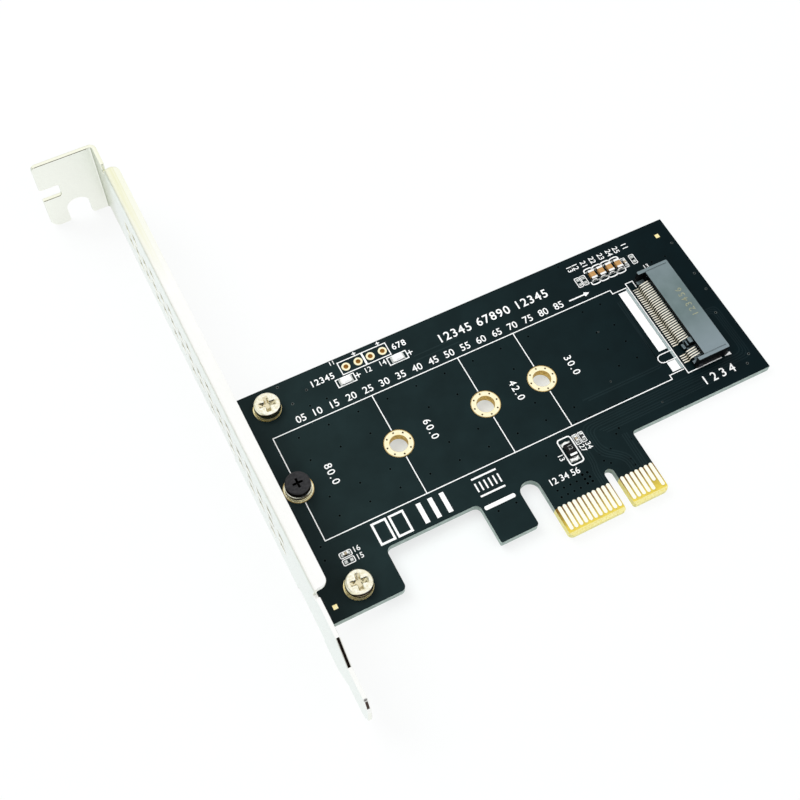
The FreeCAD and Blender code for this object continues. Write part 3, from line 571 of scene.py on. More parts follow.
def write(mesh, digits, x, y, height, turn=0.0, weight=0.008, spacing=1.0, top=0.0, under_side=False):
    """Plain numbers centred on a place, with their height in mm and their turn in degrees."""
    letters = bpy.data.curves.new("numbers", "FONT")
    letters.body = digits
    letters.resolution_u = 3
    letters.offset = weight
    letters.space_character = spacing
    letters.extrude = 0.5
    sample = bpy.data.objects.new("numbers", letters)
    shape = bpy.data.meshes.new_from_object(sample)
    corners = [vert.co for vert in shape.vertices]
    low = Vector([min(corner[i] for corner in corners) for i in range(3)])
    high = Vector([max(corner[i] for corner in corners) for i in range(3)])
    scale = height * MM / (high.y - low.y)
    face = under - ink_height / 2 if under_side else top + ink_height / 2
    flip = Matrix.Rotation(math.pi if under_side else 0, 4, "Y")
    turned = Matrix.Rotation(math.radians(turn), 4, "Z") @ flip
    centred = Matrix.Diagonal((scale, scale, ink_height * MM, 1)) @ Matrix.Translation(-(low + high) / 2)
    shape.transform(Matrix.Translation(at(x, y, face)) @ turned @ centred)
    mesh.from_mesh(shape)
    bpy.data.objects.remove(sample)
    bpy.data.meshes.remove(shape)
    bpy.data.curves.remove(letters)


ink_finish, tree, shader = new_finish("white_ink", specular=0.3)
dress(tree, shader, mottle(tree, 0.35, (0.93, 0.95, 0.94), (1.0, 1.0, 1.0)), (0.5, 0.7), 0.2)
relief(tree, shader, speckle(tree, 0.15), 0.01, 0.4)

outline = bmesh.new()
butt = outline_half - line_width / 2
for x, y in module_places[1:]:
    dash(outline, (x, ring_gap), (x, butt))
    dash(outline, (x, -butt), (x, -ring_gap))
start_x = module_places[0][0]
for side in (1, -1):
    inked(outline, [(start_x, side * ring_gap), (start_x, side * outline_half),
                    (outline_end_x, side * outline_half), (outline_end_x, side * step_half),
                    (step_end_x, side * step_half)])
inked(outline, [(76.8, 9.4), (76.8, 11.0), (75.25, 11.0), (75.25, -11.25), (82.8, -11.25)])
inked(outline, [(75.1, key_high), (71.7, key_high), (71.7, key_low), (75.1, key_low)], radius=1.1)
fit("legend_module_outline", outline, ink_finish)

boxes = bmesh.new()
for x_low, x_high, y_low, y_high, width, radius in (
        (17.2, 22.1, 17.35, 20.1, 0.2, 0), (22.3, 27.2, 17.35, 20.1, 0.2, 0),
        (15.3, 19.0, 15.2, 16.9, 0.2, 0), (26.0, 29.9, 15.2, 16.9, 0.2, 0),
        (1.0, 3.2, -15.35, -14.3, 0.18, 0.25), (1.0, 3.2, -16.75, -15.65, 0.18, 0.25),
        (45.75, 48.45, -18.0, -12.5, 0.26, 0.6), (48.82, 49.76, -14.8, -12.75, 0.14, 0.15),
        (50.00, 50.94, -14.8, -12.75, 0.14, 0.15)):
    box_outline(boxes, x_low, x_high, y_low, y_high, width, radius)
for x_low in (66.80, 68.05, 77.25, 79.25):
    box_outline(boxes, x_low, x_low + 1.0, 14.25, 16.45, 0.15, 0.2)
for x, y, size in ((20.9, 20.62, 0.8), (25.9, 20.62, 0.8), (19.65, 16.1, 1.1), (30.55, 16.1, 1.1)):
    plus(boxes, x, y, size)
for number in (1, 2, 3, 4):
    x, y = card_place(f"coupling_capacitor_{number}_body")
    for side in (1, -1):
        inked(boxes, [(x - 0.93, y + side * 1.1), (x - 0.93, y + side * 1.92), (x + 0.93, y + side * 1.92),
                      (x + 0.93, y + side * 1.1)], 0.26, 0.7)
fit("legend_part_boxes", boxes, ink_finish)

blocks = bmesh.new()
dash(blocks, (73.7, -4.9), (73.7, 9.6), 1.8)
dash(blocks, (73.7, -9.8), (73.7, -7.6), 1.8)
dash(blocks, (63.4, 12.5), (66.7, 12.5), 0.28, ink_height - 0.002)
plate(blocks, [(66.6, 12.5), (66.9, 12.0), (67.9, 12.5), (66.9, 13.0)])
plate(blocks, [(83.4, -11.3), (84.9, -11.45), (84.8, -10.8)])
plate(blocks, eased([(27.7, -18.65), (33.9, -18.65), (33.9, -17.85), (27.7, -17.85)], 0.39, True))
fit("legend_solid_bars", blocks, ink_finish)

strip_finish = mottled_finish("grey_ink", (0.32, 0.40, 0.40), (0.44, 0.52, 0.52), 0.4, (0.5, 0.5),
                              specular=0.3)
strip = bmesh.new()
dash(strip, (74.88, -9.9), (74.88, 9.9), 0.46, 0.01)
fit("legend_grey_strip", strip, strip_finish)

# Plain marks in the card's printed field: two check boxes, three bars, and a ladder of ticks.
marks = bmesh.new()
for k in range(2):
    box_outline(marks, 8.5 + k * 3.4, 11.1 + k * 3.4, -16.1, -12.0, 0.42)
for k in range(3):
    dash(marks, (17.6 + k * 2.3, -12.0), (17.6 + k * 2.3, -16.1), 0.9)
for y in (-12.3, -15.9):
    dash(marks, (28.2, y), (33.2, y), 0.35)
for k in range(6):
    dash(marks, (28.4 + k * 0.92, -15.0), (28.4 + k * 0.92, -13.2), 0.3)
fit("legend_plain_marks", marks, ink_finish)

numbers = bmesh.new()
for number, (x, y) in zip(module_numbers, module_places):
    write(numbers, number + ".0", x + number_gap, 0.0, 1.5, -90, spacing=1.25)
for k in range(17):
    write(numbers, f"{5 * (k + 1):02d}", 6.3 + 3.42 * k, 12.6, 1.5)
write(numbers, "12345 67890 12345", 48.7, 16.2, 1.9, weight=0.012, spacing=1.16)
write(numbers, "12345", 13.3, 18.1, 1.35, weight=0.014, spacing=1.1)
write(numbers, "678", 29.4, 18.6, 1.35, weight=0.014, spacing=1.1)
for digits, x, y, height in (
        ("11", 16.3, 20.6, 0.9), ("12", 21.9, 16.3, 1.1), ("14", 25.0, 16.4, 1.1), ("16", 4.3, -14.7, 1.05),
        ("15", 4.3, -16.2, 1.05), ("1 2 3 4", 80.4, -14.0, 1.85), ("13", 81.2, 12.75, 0.95),
        ("12 34 56", 43.6, -19.15, 1.3)):
    write(numbers, digits, x, y, height)
for digits, x in (("13", 44.9), ("27", 49.45), ("34", 50.75)):
    write(numbers, digits, x, -15.8, 1.05, -90)
for digits, x in (("13", 67.3), ("12", 68.55), ("21", 70.4), ("22", 72.35), ("23", 74.3), ("24", 76.25),
                  ("25", 77.85), ("11", 79.85)):
    write(numbers, digits, x, 18.75, 1.15, -90)
fit("legend_numbers", numbers, ink_finish)

back_numbers = bmesh.new()
for number, (x, y) in zip(module_numbers, module_places):
    write(back_numbers, number + ".0", x + number_gap, 0.0, 1.5, 90, under_side=True)
write(back_numbers, "1", 39.4, -22.3, 1.0, under_side=True)
write(back_numbers, "18", 58.0, -22.3, 1.0, under_side=True)
fit("legend_numbers_back", back_numbers, ink_finish)


# ---- Slot bracket ------------------------
# Folded sheet steel, 0.8 mm, bright-plated: a vented face, a rounded stiffening flange, a screw tab
# and a tongue. Two board tabs sit under the card and carry the screws' threads.

steel_light = (1.0, 1.0, 0.985)
steel_deep = (0.965, 0.97, 0.94)
steel_scratch = (0.7, 0.72, 0.68)
steel_warm = (0.935, 0.945, 0.80)
steel_streak = (0.86, 0.86, 0.60)
steel_upright_shade = (0.93, 0.945, 0.875)
steel_outer_shade = (0.90, 0.95, 0.92)
steel_outer_shade_by_tab = (0.77, 0.81, 0.73)
steel_fold_shadow = (0.50, 0.53, 0.44)
steel_sheared = (0.86, 0.86, 0.74)
steel_tongue_shade = (0.06, 0.042, 0.034)
steel_arris_reflection = (0.20, 0.18, 0.12)
arris_round = 0.17
sheet = 0.8 * MM
wall_x = at(-7.5, 0).x
vent_margin = 1.2 * MM
tab_half = 4.0 * MM
streak_x = wall_x + 1.25 * MM
flange_line_x = wall_x + 1.85 * MM
screw_tab_y = at(0, 60.0).y
shoulder_y = at(0, -34.0).y
tongue_tip_y = at(0, -42.2).y

bracket_low, bracket_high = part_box("bracket")
screw_names = ("bracket_screw_upper", "bracket_screw_lower")
screw_spots = [(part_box(name)[0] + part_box(name)[1]) / 2 for name in screw_names]


def distance(tree, value, middle):
    return calculate(tree, "ABSOLUTE", calculate(tree, "SUBTRACT", value, middle))


def within(tree, value, middle, reach):
    """Where a value lies nearer to a middle than a reach."""
    return below(tree, distance(tree, value, middle), reach)


def paint(tree, colour, *zones):
    """Lays colours over one another, each where its own mask is on."""
    for mask, over in zones:
        colour = mix_colours(tree, mask, colour, over)
    return colour


def by_board_tab(edge):
    """Whether an arris lies where a board tab's side meets the wall, too tight to be rounded."""
    return all(vert.co.x < at(-5.3, 0).x and vert.co.z < board_high.z
               and any(abs(abs(vert.co.y - spot.y) - tab_half) < 0.6 * MM for spot in screw_spots)
               for vert in edge.verts)


bracket_skin = skin_of("bracket")
bmesh.ops.dissolve_limit(bracket_skin, angle_limit=math.radians(0.5), verts=bracket_skin.verts,
                         edges=bracket_skin.edges)
arrises = [edge for edge in bracket_skin.edges if len(edge.link_faces) == 2
           and edge.calc_face_angle() > math.radians(50) and not by_board_tab(edge)]
bmesh.ops.bevel(bracket_skin, geom=arrises, offset=arris_round * MM, offset_type="OFFSET", segments=2,
                profile=0.5, affect="EDGES", material=-1, clamp_overlap=False)

bracket_finish, tree, shader = new_finish("bright_plated_steel", metallic=1.0)
where = place(tree)
normal = facing(tree)
tilt_x = calculate(tree, "ABSOLUTE", normal["X"])
grain = speckle(tree, 0.25, (3, 0.15, 3))

# The sheared edges of the wall, between the bends at its sides and short of its ends.
sheared = product(tree, below(tree, tilt_x, 0.45), within(tree, where["X"], wall_x + sheet / 2, sheet / 2),
                  within(tree, where["Z"], (bracket_low.z + bracket_high.z) / 2,
                         (bracket_high.z - bracket_low.z) / 2 - vent_margin),
                  within(tree, where["Y"], at(0, 26.0).y, 40 * MM))

# A yellowish streak along the flange near its bend, and a thin line beside it, both stronger toward the screw
# tab.
toward_tab = spread(tree, where["Y"], 0.0, 1.0, at(0, 40.0).y, screw_tab_y + 6.0 * MM)
streak = spread(tree, distance(tree, where["X"], streak_x), 1.0, 0.0, 0.1 * MM, 0.9 * MM)
streak = product(tree, streak, spread(tree, speckle(tree, 0.35, (1, 0.03, 0.2)), 0.35, 1.0))
streak = calculate(tree, "MAXIMUM", streak, within(tree, where["X"], flange_line_x, 0.05 * MM))

# Painted shade: the outer face is painted a darker green-grey, darker still toward the screw tab, and a
# painted shadow lies in the inside corner where the tab is folded.
tab_end_shade = spread(tree, where["Y"], 0.0, 1.0, screw_tab_y + 6.0 * MM, screw_tab_y + 12.0 * MM)
outer_shade_colour = mix_colours(tree, tab_end_shade, steel_outer_shade, steel_outer_shade_by_tab)
turning = distance(tree, normal["X"], normal["Y"])
fold_shadow = product(tree, below(tree, turning, 0.35), below(tree, normal["X"], -0.4),
                  above(tree, where["Y"], screw_tab_y + 10.0 * MM))

# Rounded arrises painted dark: painted shade on the tongue's shoulder and tip, and a painted dark reflection
# on the inner edge of the screw tab.
sloped = product(tree, above(tree, normal["Z"], 0.2), below(tree, normal["Z"], 0.992),
                 below(tree, tilt_x, 0.12))
shaded_tongue_ends = calculate(tree, "MAXIMUM", within(tree, where["Y"], shoulder_y, 3 * MM),
                        within(tree, where["Y"], tongue_tip_y, 0.40 * MM))
tab_arris_reflection = product(tree, sloped, above(tree, where["Y"], screw_tab_y), below(tree, normal["Y"], -0.5),
                 below(tree, where["X"], wall_x - 0.9 * MM))

# Upright faces are painted a shade darker than faces that look up.
steel_colour = mottle(tree, 6.0, steel_light, steel_deep, stretch=(1, 0.35, 1))
steel_colour = paint(tree, steel_colour,
                     (spread(tree, grain, 0, 0.10), steel_scratch),
                     (toward_tab, steel_warm),
                     (product(tree, toward_tab, streak), steel_streak),
                     (below(tree, facing_up(tree), 0.3), steel_upright_shade),
                     (below(tree, normal["X"], -0.7), outer_shade_colour),
                     (fold_shadow, steel_fold_shadow),
                     (sheared, steel_sheared),
                     (product(tree, sloped, shaded_tongue_ends), steel_tongue_shade),
                     (tab_arris_reflection, steel_arris_reflection))
connect(tree, steel_colour, shader.inputs["Base Color"])
connect(tree, spread(tree, grain, 0.26, 0.40), shader.inputs["Roughness"])
relief(tree, shader, grain, 0.01, 0.25)
bracket_piece = fit("bracket_skin", bracket_skin, bracket_finish, 20)
for face in bracket_piece.data.polygons:
    face.use_smooth = face.area < (0.6 * MM) ** 2 or max(abs(part) for part in face.normal) < 0.9
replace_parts(bracket_piece, "bracket")


# ---- Bracket screws ----------------------
# Two nickel-plated steel pan heads with a cross recess. Each goes through the board and into the
# thread tapped in the bracket's tab underneath, where its end stands out a little.

head_light = (1.0, 1.0, 0.90)
head_deep = (0.84, 0.78, 0.56)
head_side_shade = (0.62, 0.52, 0.32)
head_lower_side_shadow = (0.015, 0.014, 0.010)
head_crescent_reflection = (0.05, 0.03, 0.015)
recess_floor_shade = (0.80, 0.72, 0.50)
recess_wall_shade = (0.26, 0.19, 0.08)
recess_reach = 1.90 * MM
recess_drop = 0.08 * MM
head_grow = 1.08
head_play = Vector((0.08, -0.05, 0)) * MM
shank_reach = 1.8 * MM
head_seat = board_high.z + foil * MM
head_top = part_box("bracket_screw_upper")[1].z

screw_finish, tree, shader = new_finish("nickel_plate", metallic=1.0)
where = place(tree)
normal = facing(tree)
upright = below(tree, facing_up(tree), 0.5)
lower_side_shadow = spread(tree, where["Z"], 1.0, 0.0, board_high.z + 0.85 * MM, board_high.z + 1.05 * MM)
off_x = distance(tree, where["X"], screw_spots[0].x)
off_y = calculate(tree, "MINIMUM", *[distance(tree, where["Y"], spot.y) for spot in screw_spots])
reach = calculate(tree, "ADD", product(tree, off_x, off_x), product(tree, off_y, off_y))
recess_shade = product(tree, below(tree, reach, recess_reach ** 2), below(tree, where["Z"], head_top - recess_drop))
dark_reflection_crescent = product(tree, within(tree, normal["Z"], 0.55, 0.22), below(tree, normal["Y"], -0.50))
# Painted light on the heads: painted shade on their sides, a black painted shadow low on the sides, a painted
# dark reflection on the rounding, and painted shade in the cross recess.
screw_colour = paint(tree, mottle(tree, 0.5, head_light, head_deep),
                     (upright, head_side_shade),
                     (product(tree, upright, lower_side_shadow), head_lower_side_shadow),
                     (dark_reflection_crescent, head_crescent_reflection),
                     (recess_shade, mix_colours(tree, upright, recess_floor_shade, recess_wall_shade)))
dress(tree, shader, screw_colour, (0.10, 0.22), 0.35)
relief(tree, shader, speckle(tree, 0.45), 0.03, 0.5)
for name, middle in zip(screw_names, screw_spots):
    skin = skin_of(name)
    for vert in skin.verts:
        off = vert.co - middle
        off.z = 0
        if vert.co.z > head_seat + 0.01 * MM or off.length > shank_reach:
            vert.co += off * (head_grow - 1) + head_play
    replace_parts(fit(name + "_skin", skin, screw_finish, 30), name)


# ---- Module standoff, nut and screw ------
# A bright steel standoff clamped by a nut under the board carries the module's end. The module
# screw is a flat, black-plated head with a cross recess.

groove_shade_half = 0.22
foot_shade_height = 0.12
standoff_middle = (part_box("module_standoff")[1].z - board_high.z) / MM / 2

standoff_finish, tree, shader = new_finish("turned_steel", metallic=1.0)
heights = product(tree, calculate(tree, "SUBTRACT", place(tree)["Z"], board_high.z), 1 / MM)
# A near-black band round its middle is painted shade for a groove, and its foot is darkened by a painted
# shadow.
turned_colour = paint(tree, mottle(tree, 0.3, (1.0, 1.0, 0.93), (0.82, 0.82, 0.72), stretch=(1, 1, 6)),
                      (within(tree, heights, standoff_middle, groove_shade_half), (0.02, 0.02, 0.018)),
                      (within(tree, heights, foot_shade_height, 0.10), (0.05, 0.045, 0.03)))
dress(tree, shader, turned_colour, (0.18, 0.34), 0.3, (1, 1, 8))
coat(standoff_finish, "module_standoff", "standoff_nut")

black_screw_finish, tree, shader = new_finish("black_plate", metallic=0.35, specular=0.4)
# The cross recess is painted black and less shiny, as painted shade.
recess_shade = below(tree, place(tree)["Z"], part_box("module_screw")[1].z - 0.15 * MM)
black_colour = mottle(tree, 0.5, (0.012, 0.012, 0.014), (0.035, 0.035, 0.038))
dress(tree, shader, mix_colours(tree, recess_shade, black_colour, (0.001, 0.001, 0.001)), (0.34, 0.5))
connect(tree, spread(tree, recess_shade, 0.4, 0.05, 0, 1), shader.inputs["Specular IOR Level"])
coat(black_screw_finish, "module_screw")


# ---- Module socket -----------------------
# A moulded, glass-filled housing of black plastic: its top plate and arms get a painted grey-blue sheen over
# the black, open mouth.
# Two rows of stamped and gold-flashed springs stand in it, and tinned strips hold it to the board.

plate_sheen_light = (0.148, 0.202, 0.207)
plate_sheen_deep = (0.115, 0.164, 0.166)
plate_sheen_pale_end = (0.215, 0.270, 0.300)
mouth_black = (0.003, 0.004, 0.005)
socket_low, socket_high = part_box("socket_housing")

socket_finish, tree, shader = new_finish("moulded_socket", specular=0.35)
where = place(tree)
# Painted sheen on the top faces, paler toward both ends; the other faces keep the black.
sheen_toward_ends = calculate(tree, "ADD", spread(tree, where["Y"], 1.0, 0.0, at(0, -9.0).y, at(0, -1.0).y),
                        spread(tree, where["Y"], 0.0, 0.7, at(0, 5.0).y, at(0, 12.0).y))
plate_sheen_colour = mix_colours(tree, product(tree, sheen_toward_ends, 0.8), mottle(tree, 2.5, plate_sheen_deep, plate_sheen_light),
                           plate_sheen_pale_end)
sheen_top_face = product(tree, above(tree, facing_up(tree), 0.6),
                   above(tree, where["Z"], socket_low.z + (socket_high.z - socket_low.z) * 0.45),
                   within(tree, where["Y"], (socket_low.y + socket_high.y) / 2,
                          (socket_high.y - socket_low.y) / 2 - 0.03 * MM))
dress(tree, shader, mix_colours(tree, sheen_top_face, mouth_black, plate_sheen_colour), (0.36, 0.52), 0.25)
connect(tree, spread(tree, sheen_top_face, 0.06, 0.35, 0, 1), shader.inputs["Specular IOR Level"])
relief(tree, shader, speckle(tree, 0.12), 0.008, 0.5)
coat(socket_finish, "socket_housing")

socket_mark_finish = mottled_finish("faded_socket_mark", (0.21, 0.235, 0.18), (0.37, 0.38, 0.25), 0.5,
                                    (0.55, 0.55), specular=0.3)
socket_mark = bmesh.new()
write(socket_mark, "123456", 82.05, 1.0, 1.3, 90, 0.004, 1.3, (socket_high.z - board_high.z) / MM)
fit("socket_number", socket_mark, socket_mark_finish)

spring_finish, tree, shader = new_finish("gold_flashed_spring", metallic=1.0)
# Upright faces of the springs are painted near black, as painted shade.
spring_colour = paint(tree, mottle(tree, 0.5, (1.0, 0.97, 0.86), (0.88, 0.83, 0.68)),
                      (below(tree, facing_up(tree), 0.12), (0.02, 0.018, 0.012)))
dress(tree, shader, spring_colour, (0.22, 0.36))
coat(spring_finish, "socket_contacts_lower", "socket_contacts_upper")

dull_finish = mottled_finish("dull_dark_tin", (0.05, 0.055, 0.065), (0.14, 0.15, 0.17), 0.3, (0.45, 0.45),
                             metallic=0.8)
hold_low, hold_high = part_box("socket_hold_downs")
hold_x = ((hold_low + hold_high) / 2 - seat).x / MM
hold_width = (hold_high.x - hold_low.x) / MM - 0.4
hold_top = (hold_high.z - board_high.z) / MM
hold_downs = bmesh.new()
for side, wall in ((1, socket_high), (-1, socket_low)):
    wall_y = (wall.y - seat.y) / MM
    for near, far, top in ((-0.24, -0.02, hold_top), (-0.02, 0.12, foil + 0.2)):
        bar(hold_downs, (hold_x, wall_y + side * near), (hold_x, wall_y + side * far), hold_width, foil, top)
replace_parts(fit("hold_down_strips", hold_downs, dull_finish), "socket_hold_downs")


# ---- Small parts -------------------------
# Fired ceramic blocks with tinned ends: four tan coupling capacitors, three paler ones and one black
# resistor. Two milky lamps and a moulded diode stand near them, all soldered to tinned pads.

small_parts = {"tan": [f"coupling_capacitor_{number}" for number in (1, 2, 3, 4)],
               "pale": [f"small_capacitor_{number}" for number in (1, 2, 3)],
               "dark": ["resistor"],
               "lamp": ["indicator_lamp_1", "indicator_lamp_2"]}

tin_finish, tree, shader = new_finish("bright_tin", metallic=1.0)
# Upright faces of the tinned ends are painted dark, as painted shade.
tin_colour = paint(tree, mottle(tree, 0.22, (0.86, 0.88, 0.86), (1.0, 1.0, 0.99)),
                   (below(tree, facing_up(tree), 0.4), (0.07, 0.075, 0.07)))
dress(tree, shader, tin_colour, (0.20, 0.36))
relief(tree, shader, speckle(tree, 0.3), 0.02, 0.35)
solder_finish = mottled_finish("tin_solder", (0.90, 0.92, 0.90), (1.0, 1.0, 0.99), 0.2, (0.16, 0.30),
                               metallic=1.0)
pad_finish = mottled_finish("bare_tinned_pad", (0.36, 0.39, 0.37), (0.78, 0.80, 0.78), 0.3, (0.25, 0.40),
                            metallic=1.0)


def moulded(name, light, deep, roughness, specular=0.4):
    return mottled_finish(name, light, deep, 0.25, roughness, 0.2, specular=specular)


lamp_finish = moulded("milky_lamp_resin_painted_glow", (1.0, 1.0, 1.0), (0.93, 0.96, 0.95), (0.18, 0.30))
# The resin is given a faint glow, painted light, though the lamps are not lit.
lamp_glow_shader = lamp_finish.node_tree.nodes["Principled BSDF"]
lamp_glow_shader.inputs["Emission Color"].default_value = (1.0, 1.0, 1.0, 1.0)
lamp_glow_shader.inputs["Emission Strength"].default_value = 0.3
body_finishes = {
    "tan": moulded("tan_fired_ceramic", (0.56, 0.32, 0.115), (0.42, 0.22, 0.070), (0.30, 0.45)),
    "pale": moulded("pale_fired_ceramic", (0.55, 0.47, 0.34), (0.42, 0.35, 0.24), (0.30, 0.45)),
    "dark": moulded("black_glazed_ceramic", (0.012, 0.013, 0.015), (0.03, 0.032, 0.035), (0.20, 0.35)),
    "lamp": lamp_finish}
diode_finish = moulded("black_moulded_case", (0.004, 0.004, 0.004), (0.009, 0.009, 0.010), (0.40, 0.55), 0.12)
for kind, names in small_parts.items():
    coat(body_finishes[kind], *[name + "_body" for name in names])
    coat(solder_finish if kind == "lamp" else tin_finish, *[name + "_ends" for name in names])
coat(diode_finish, "diode_body")
coat(tin_finish, "diode_leads")
coat(pad_finish, "component_pads")


# ---- Solder and case marks ---------------
# Tin solder drawn up the ends of the small parts in rounded fillets. The diode's case has a white
# band at one end and a plain number, both printed.

solder_reach = 0.2
coupling_solder_reach = 0.42
solder_spread = 1.02
solder_rise = 0.62
tuck = 0.02
diode_tuck = 0.05
diode_solder = (0.85, 1.85, 0.30)
band_inset = 0.14
band_width = 0.42
band_margin = 0.12
print_height = 0.01


def fillet(mesh, x, y, reach, width, height, turn):
    """Half of a half-round drop against a part's end: its reach, width and height in mm."""
    drop = bmesh.new()
    bmesh.ops.create_uvsphere(drop, u_segments=20, v_segments=12, radius=MM)
    for cut in ((0, 0, -1), (-1, 0, 0)):
        bmesh.ops.bisect_plane(drop, geom=[*drop.verts, *drop.edges, *drop.faces], plane_co=(0, 0, 0),
                               plane_no=cut, clear_outer=True)
        bmesh.ops.holes_fill(drop, edges=[edge for edge in drop.edges if edge.is_boundary])
    drop.transform(Matrix.Translation(at(x, y, foil)) @ Matrix.Rotation(math.radians(turn), 4, "Z")
                   @ Matrix.Diagonal((reach, width / 2, height, 1)))
    shape = bpy.data.meshes.new("drop")
    drop.to_mesh(shape)
    mesh.from_mesh(shape)
    bpy.data.meshes.remove(shape)
    drop.free()


solder = bmesh.new()
for name in sum(small_parts.values(), []):
    low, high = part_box(name + "_ends")
    x, y = card_place(name + "_ends")
    size = (high - low) / MM
    reach = coupling_solder_reach if name.startswith("coupling") else solder_reach
    width = min(size.x, size.y) * solder_spread
    height = size.z * solder_rise
    for side in (1, -1):
        if size.y > size.x:
            fillet(solder, x, y + side * (size.y / 2 - tuck), reach, width, height, 90 * side)
        else:
            fillet(solder, x + side * (size.x / 2 - tuck), y, reach, width, height, 90 - 90 * side)
diode_low, diode_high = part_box("diode_body")
diode_x, diode_y = card_place("diode_body")
diode_size = (diode_high - diode_low) / MM
for side in (1, -1):
    fillet(solder, diode_x, diode_y + side * (diode_size.y / 2 - diode_tuck), *diode_solder, 90 * side)
fit("solder_fillets", solder, solder_finish, 40)

case_top = (diode_high.z - board_high.z) / MM
band_y = diode_y - diode_size.y / 2 + band_inset
case_band = bmesh.new()
bar(case_band, (diode_x, band_y), (diode_x, band_y + band_width), diode_size.x - 2 * band_margin,
    case_top, case_top + print_height)
fit("diode_band", case_band, ink_finish)
grey_mark_finish = mottled_finish("grey_case_mark", (0.30, 0.32, 0.31), (0.45, 0.47, 0.46), 0.2, (0.5, 0.5),
                                  specular=0.3)
case_number = bmesh.new()
write(case_number, "12", diode_x + 0.1, diode_y + 0.35, 0.8, -90, weight=0.0, top=case_top)
fit("diode_number", case_number, grey_mark_finish)


# ---- Floor, light and camera -------------
# A plain white sheet that the card lies on, a large soft lamp behind and to the left, a weaker one
# in front, and an even white room. The card leans by about a degree, on its bracket and its end.

floor_span = 3.0
floor_drop = 0.02 * MM
lean = math.atan2(board_low.z, board_high.x - bracket_low.x)
floor_at = Matrix.Translation((bracket_low.x, 0, -floor_drop)) @ Matrix.Rotation(-lean, 4, "Y")
floor_mesh = bmesh.new()
bmesh.ops.create_grid(floor_mesh, x_segments=1, y_segments=1, size=floor_span, matrix=floor_at)
floor_data = bpy.data.meshes.new("floor")
floor_mesh.to_mesh(floor_data)
floor_mesh.free()
floor = bpy.data.objects.new("floor", floor_data)
bpy.context.scene.collection.objects.link(floor)


def patch(tree, across, along):
    """A soft-edged rectangle of the floor, which rises and falls between places in mm on each axis."""
    spot = place(tree)
    x_edges = [at(x, 0).x for x in across]
    y_edges = [at(0, y).y for y in along]
    return product(tree, *[spread(tree, spot[axis], *ends, *edges) for axis, ends, edges in (
        ("X", (0, 1), x_edges[:2]), ("X", (1, 0), x_edges[2:]),
        ("Y", (0, 1), y_edges[:2]), ("Y", (1, 0), y_edges[2:]))])


paper = bpy.data.materials.new("white_paper")
paper.use_nodes = True
tree = paper.node_tree
tree.nodes.clear()
lit_paper = tree.nodes.new("ShaderNodeBsdfDiffuse")
connect(tree, mottle(tree, 3.0, (0.86, 0.94, 0.93), (0.88, 0.96, 0.95)), lit_paper.inputs["Color"])
glow = tree.nodes.new("ShaderNodeEmission")
glow.inputs["Strength"].default_value = 1.0
path = tree.nodes.new("ShaderNodeLightPath")
seen = calculate(tree, "MAXIMUM", path.outputs["Is Camera Ray"], path.outputs["Is Glossy Ray"])
seen = calculate(tree, "MAXIMUM", seen, path.outputs["Is Transmission Ray"])
# The floor glows less under and beside the card, so the card's real shadow shows deeper there: shade made
# stronger in these patches.
deeper_shade_under_card = spread(tree, patch(tree, (-3, 0, 82, 87), (-15, -11, 16, 20)), 0.88, 0.45, 0, 1)
deeper_shade_beside_card = spread(tree, patch(tree, (-4, 6, 36, 44), (-32, -22, 0, 4)), 0.88, 0.66, 0, 1)
mixed = tree.nodes.new("ShaderNodeMixShader")
connect(tree, product(tree, seen, calculate(tree, "MINIMUM", deeper_shade_under_card, deeper_shade_beside_card)), mixed.inputs[0])
tree.links.new(lit_paper.outputs[0], mixed.inputs[1])
tree.links.new(glow.outputs[0], mixed.inputs[2])
output = tree.nodes.new("ShaderNodeOutputMaterial")
tree.links.new(mixed.outputs[0], output.inputs["Surface"])
floor_data.materials.append(paper)


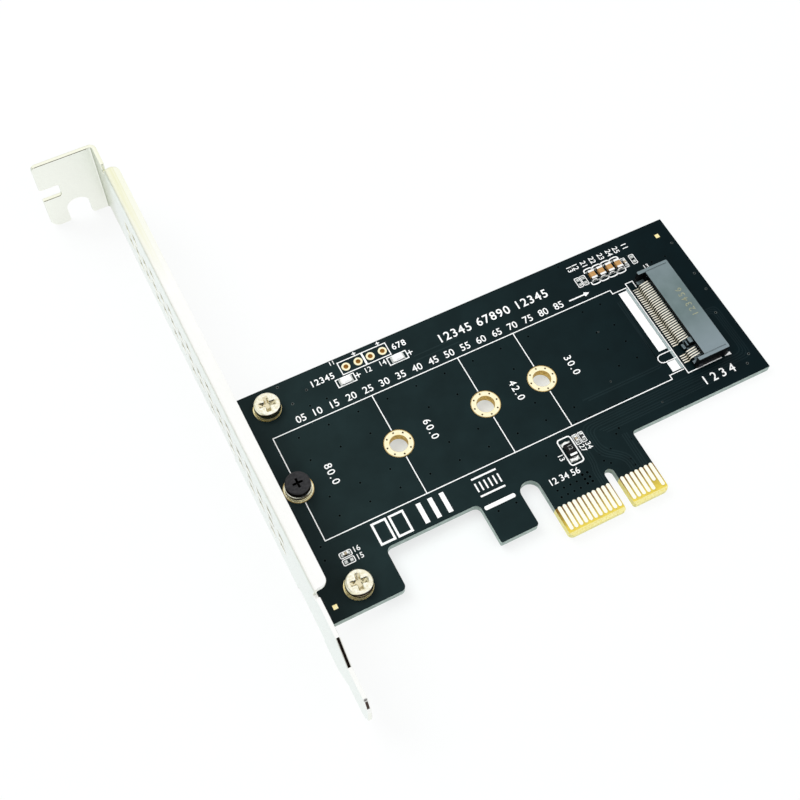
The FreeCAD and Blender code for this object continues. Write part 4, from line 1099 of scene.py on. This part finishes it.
def soft_lamp(name, spot, size, power):
    lamp = bpy.data.lights.new(name, "AREA")
    lamp.shape = "DISK"
    lamp.size = size
    lamp.energy = power
    holder = bpy.data.objects.new(name, lamp)
    holder.location = spot
    holder.rotation_euler = (-Vector(spot)).to_track_quat("-Z", "Y").to_euler()
    holder.visible_glossy = False
    bpy.context.scene.collection.objects.link(holder)


soft_lamp("soft_lamp_back", (-0.35, 0.45, 0.75), 0.7, 5.5)
soft_lamp("soft_lamp_front", (0.40, -0.50, 0.60), 0.8, 2.0)

ambient = 0.55
dark_corner = (0.0, -0.92, 0.39)      # direction of the unlit end of the room, seen only in bright metal
room_low = (0.40, 0.38, 0.26)

room = bpy.data.worlds.new("white_room")
bpy.context.scene.world = room
room.use_nodes = True
tree = room.node_tree
background = tree.nodes["Background"]
path = tree.nodes.new("ShaderNodeLightPath")
glossy = path.outputs["Is Glossy Ray"]
direction = tree.nodes.new("ShaderNodeTexCoord").outputs["Generated"]
towards = tree.nodes.new("ShaderNodeVectorMath")
towards.operation = "DOT_PRODUCT"
tree.links.new(direction, towards.inputs[0])
towards.inputs[1].default_value = dark_corner
mirrored = product(tree, spread(tree, towards.outputs["Value"], 1.05, 0.05, 0.74, 0.88), glossy)
low_down = calculate(tree, "ABSOLUTE", split(tree, direction)["Z"])
low_down = product(tree, spread(tree, low_down, 1.0, 0.0, 0.10, 0.24), glossy)
connect(tree, mix_colours(tree, low_down, (1.0, 1.0, 1.0), room_low), background.inputs["Color"])
seen = calculate(tree, "MAXIMUM", path.outputs["Is Camera Ray"], path.outputs["Is Transmission Ray"])
even = product(tree, calculate(tree, "MAXIMUM", seen, ambient), calculate(tree, "SUBTRACT", 1.0, glossy))
connect(tree, calculate(tree, "ADD", even, mirrored), background.inputs["Strength"])

camera_data = bpy.data.cameras.new("camera")
camera_data.lens = 54.461
camera_data.sensor_width = 36.0
camera_data.clip_start = 0.01
camera = bpy.data.objects.new("camera", camera_data)
camera.location = (-0.06114327, -0.10167057, 0.20048787)
camera.rotation_euler = (0.490636, -0.013496, -0.471946)
bpy.context.scene.collection.objects.link(camera)
bpy.context.scene.camera = camera
bpy.context.scene.view_settings.view_transform = "Standard"
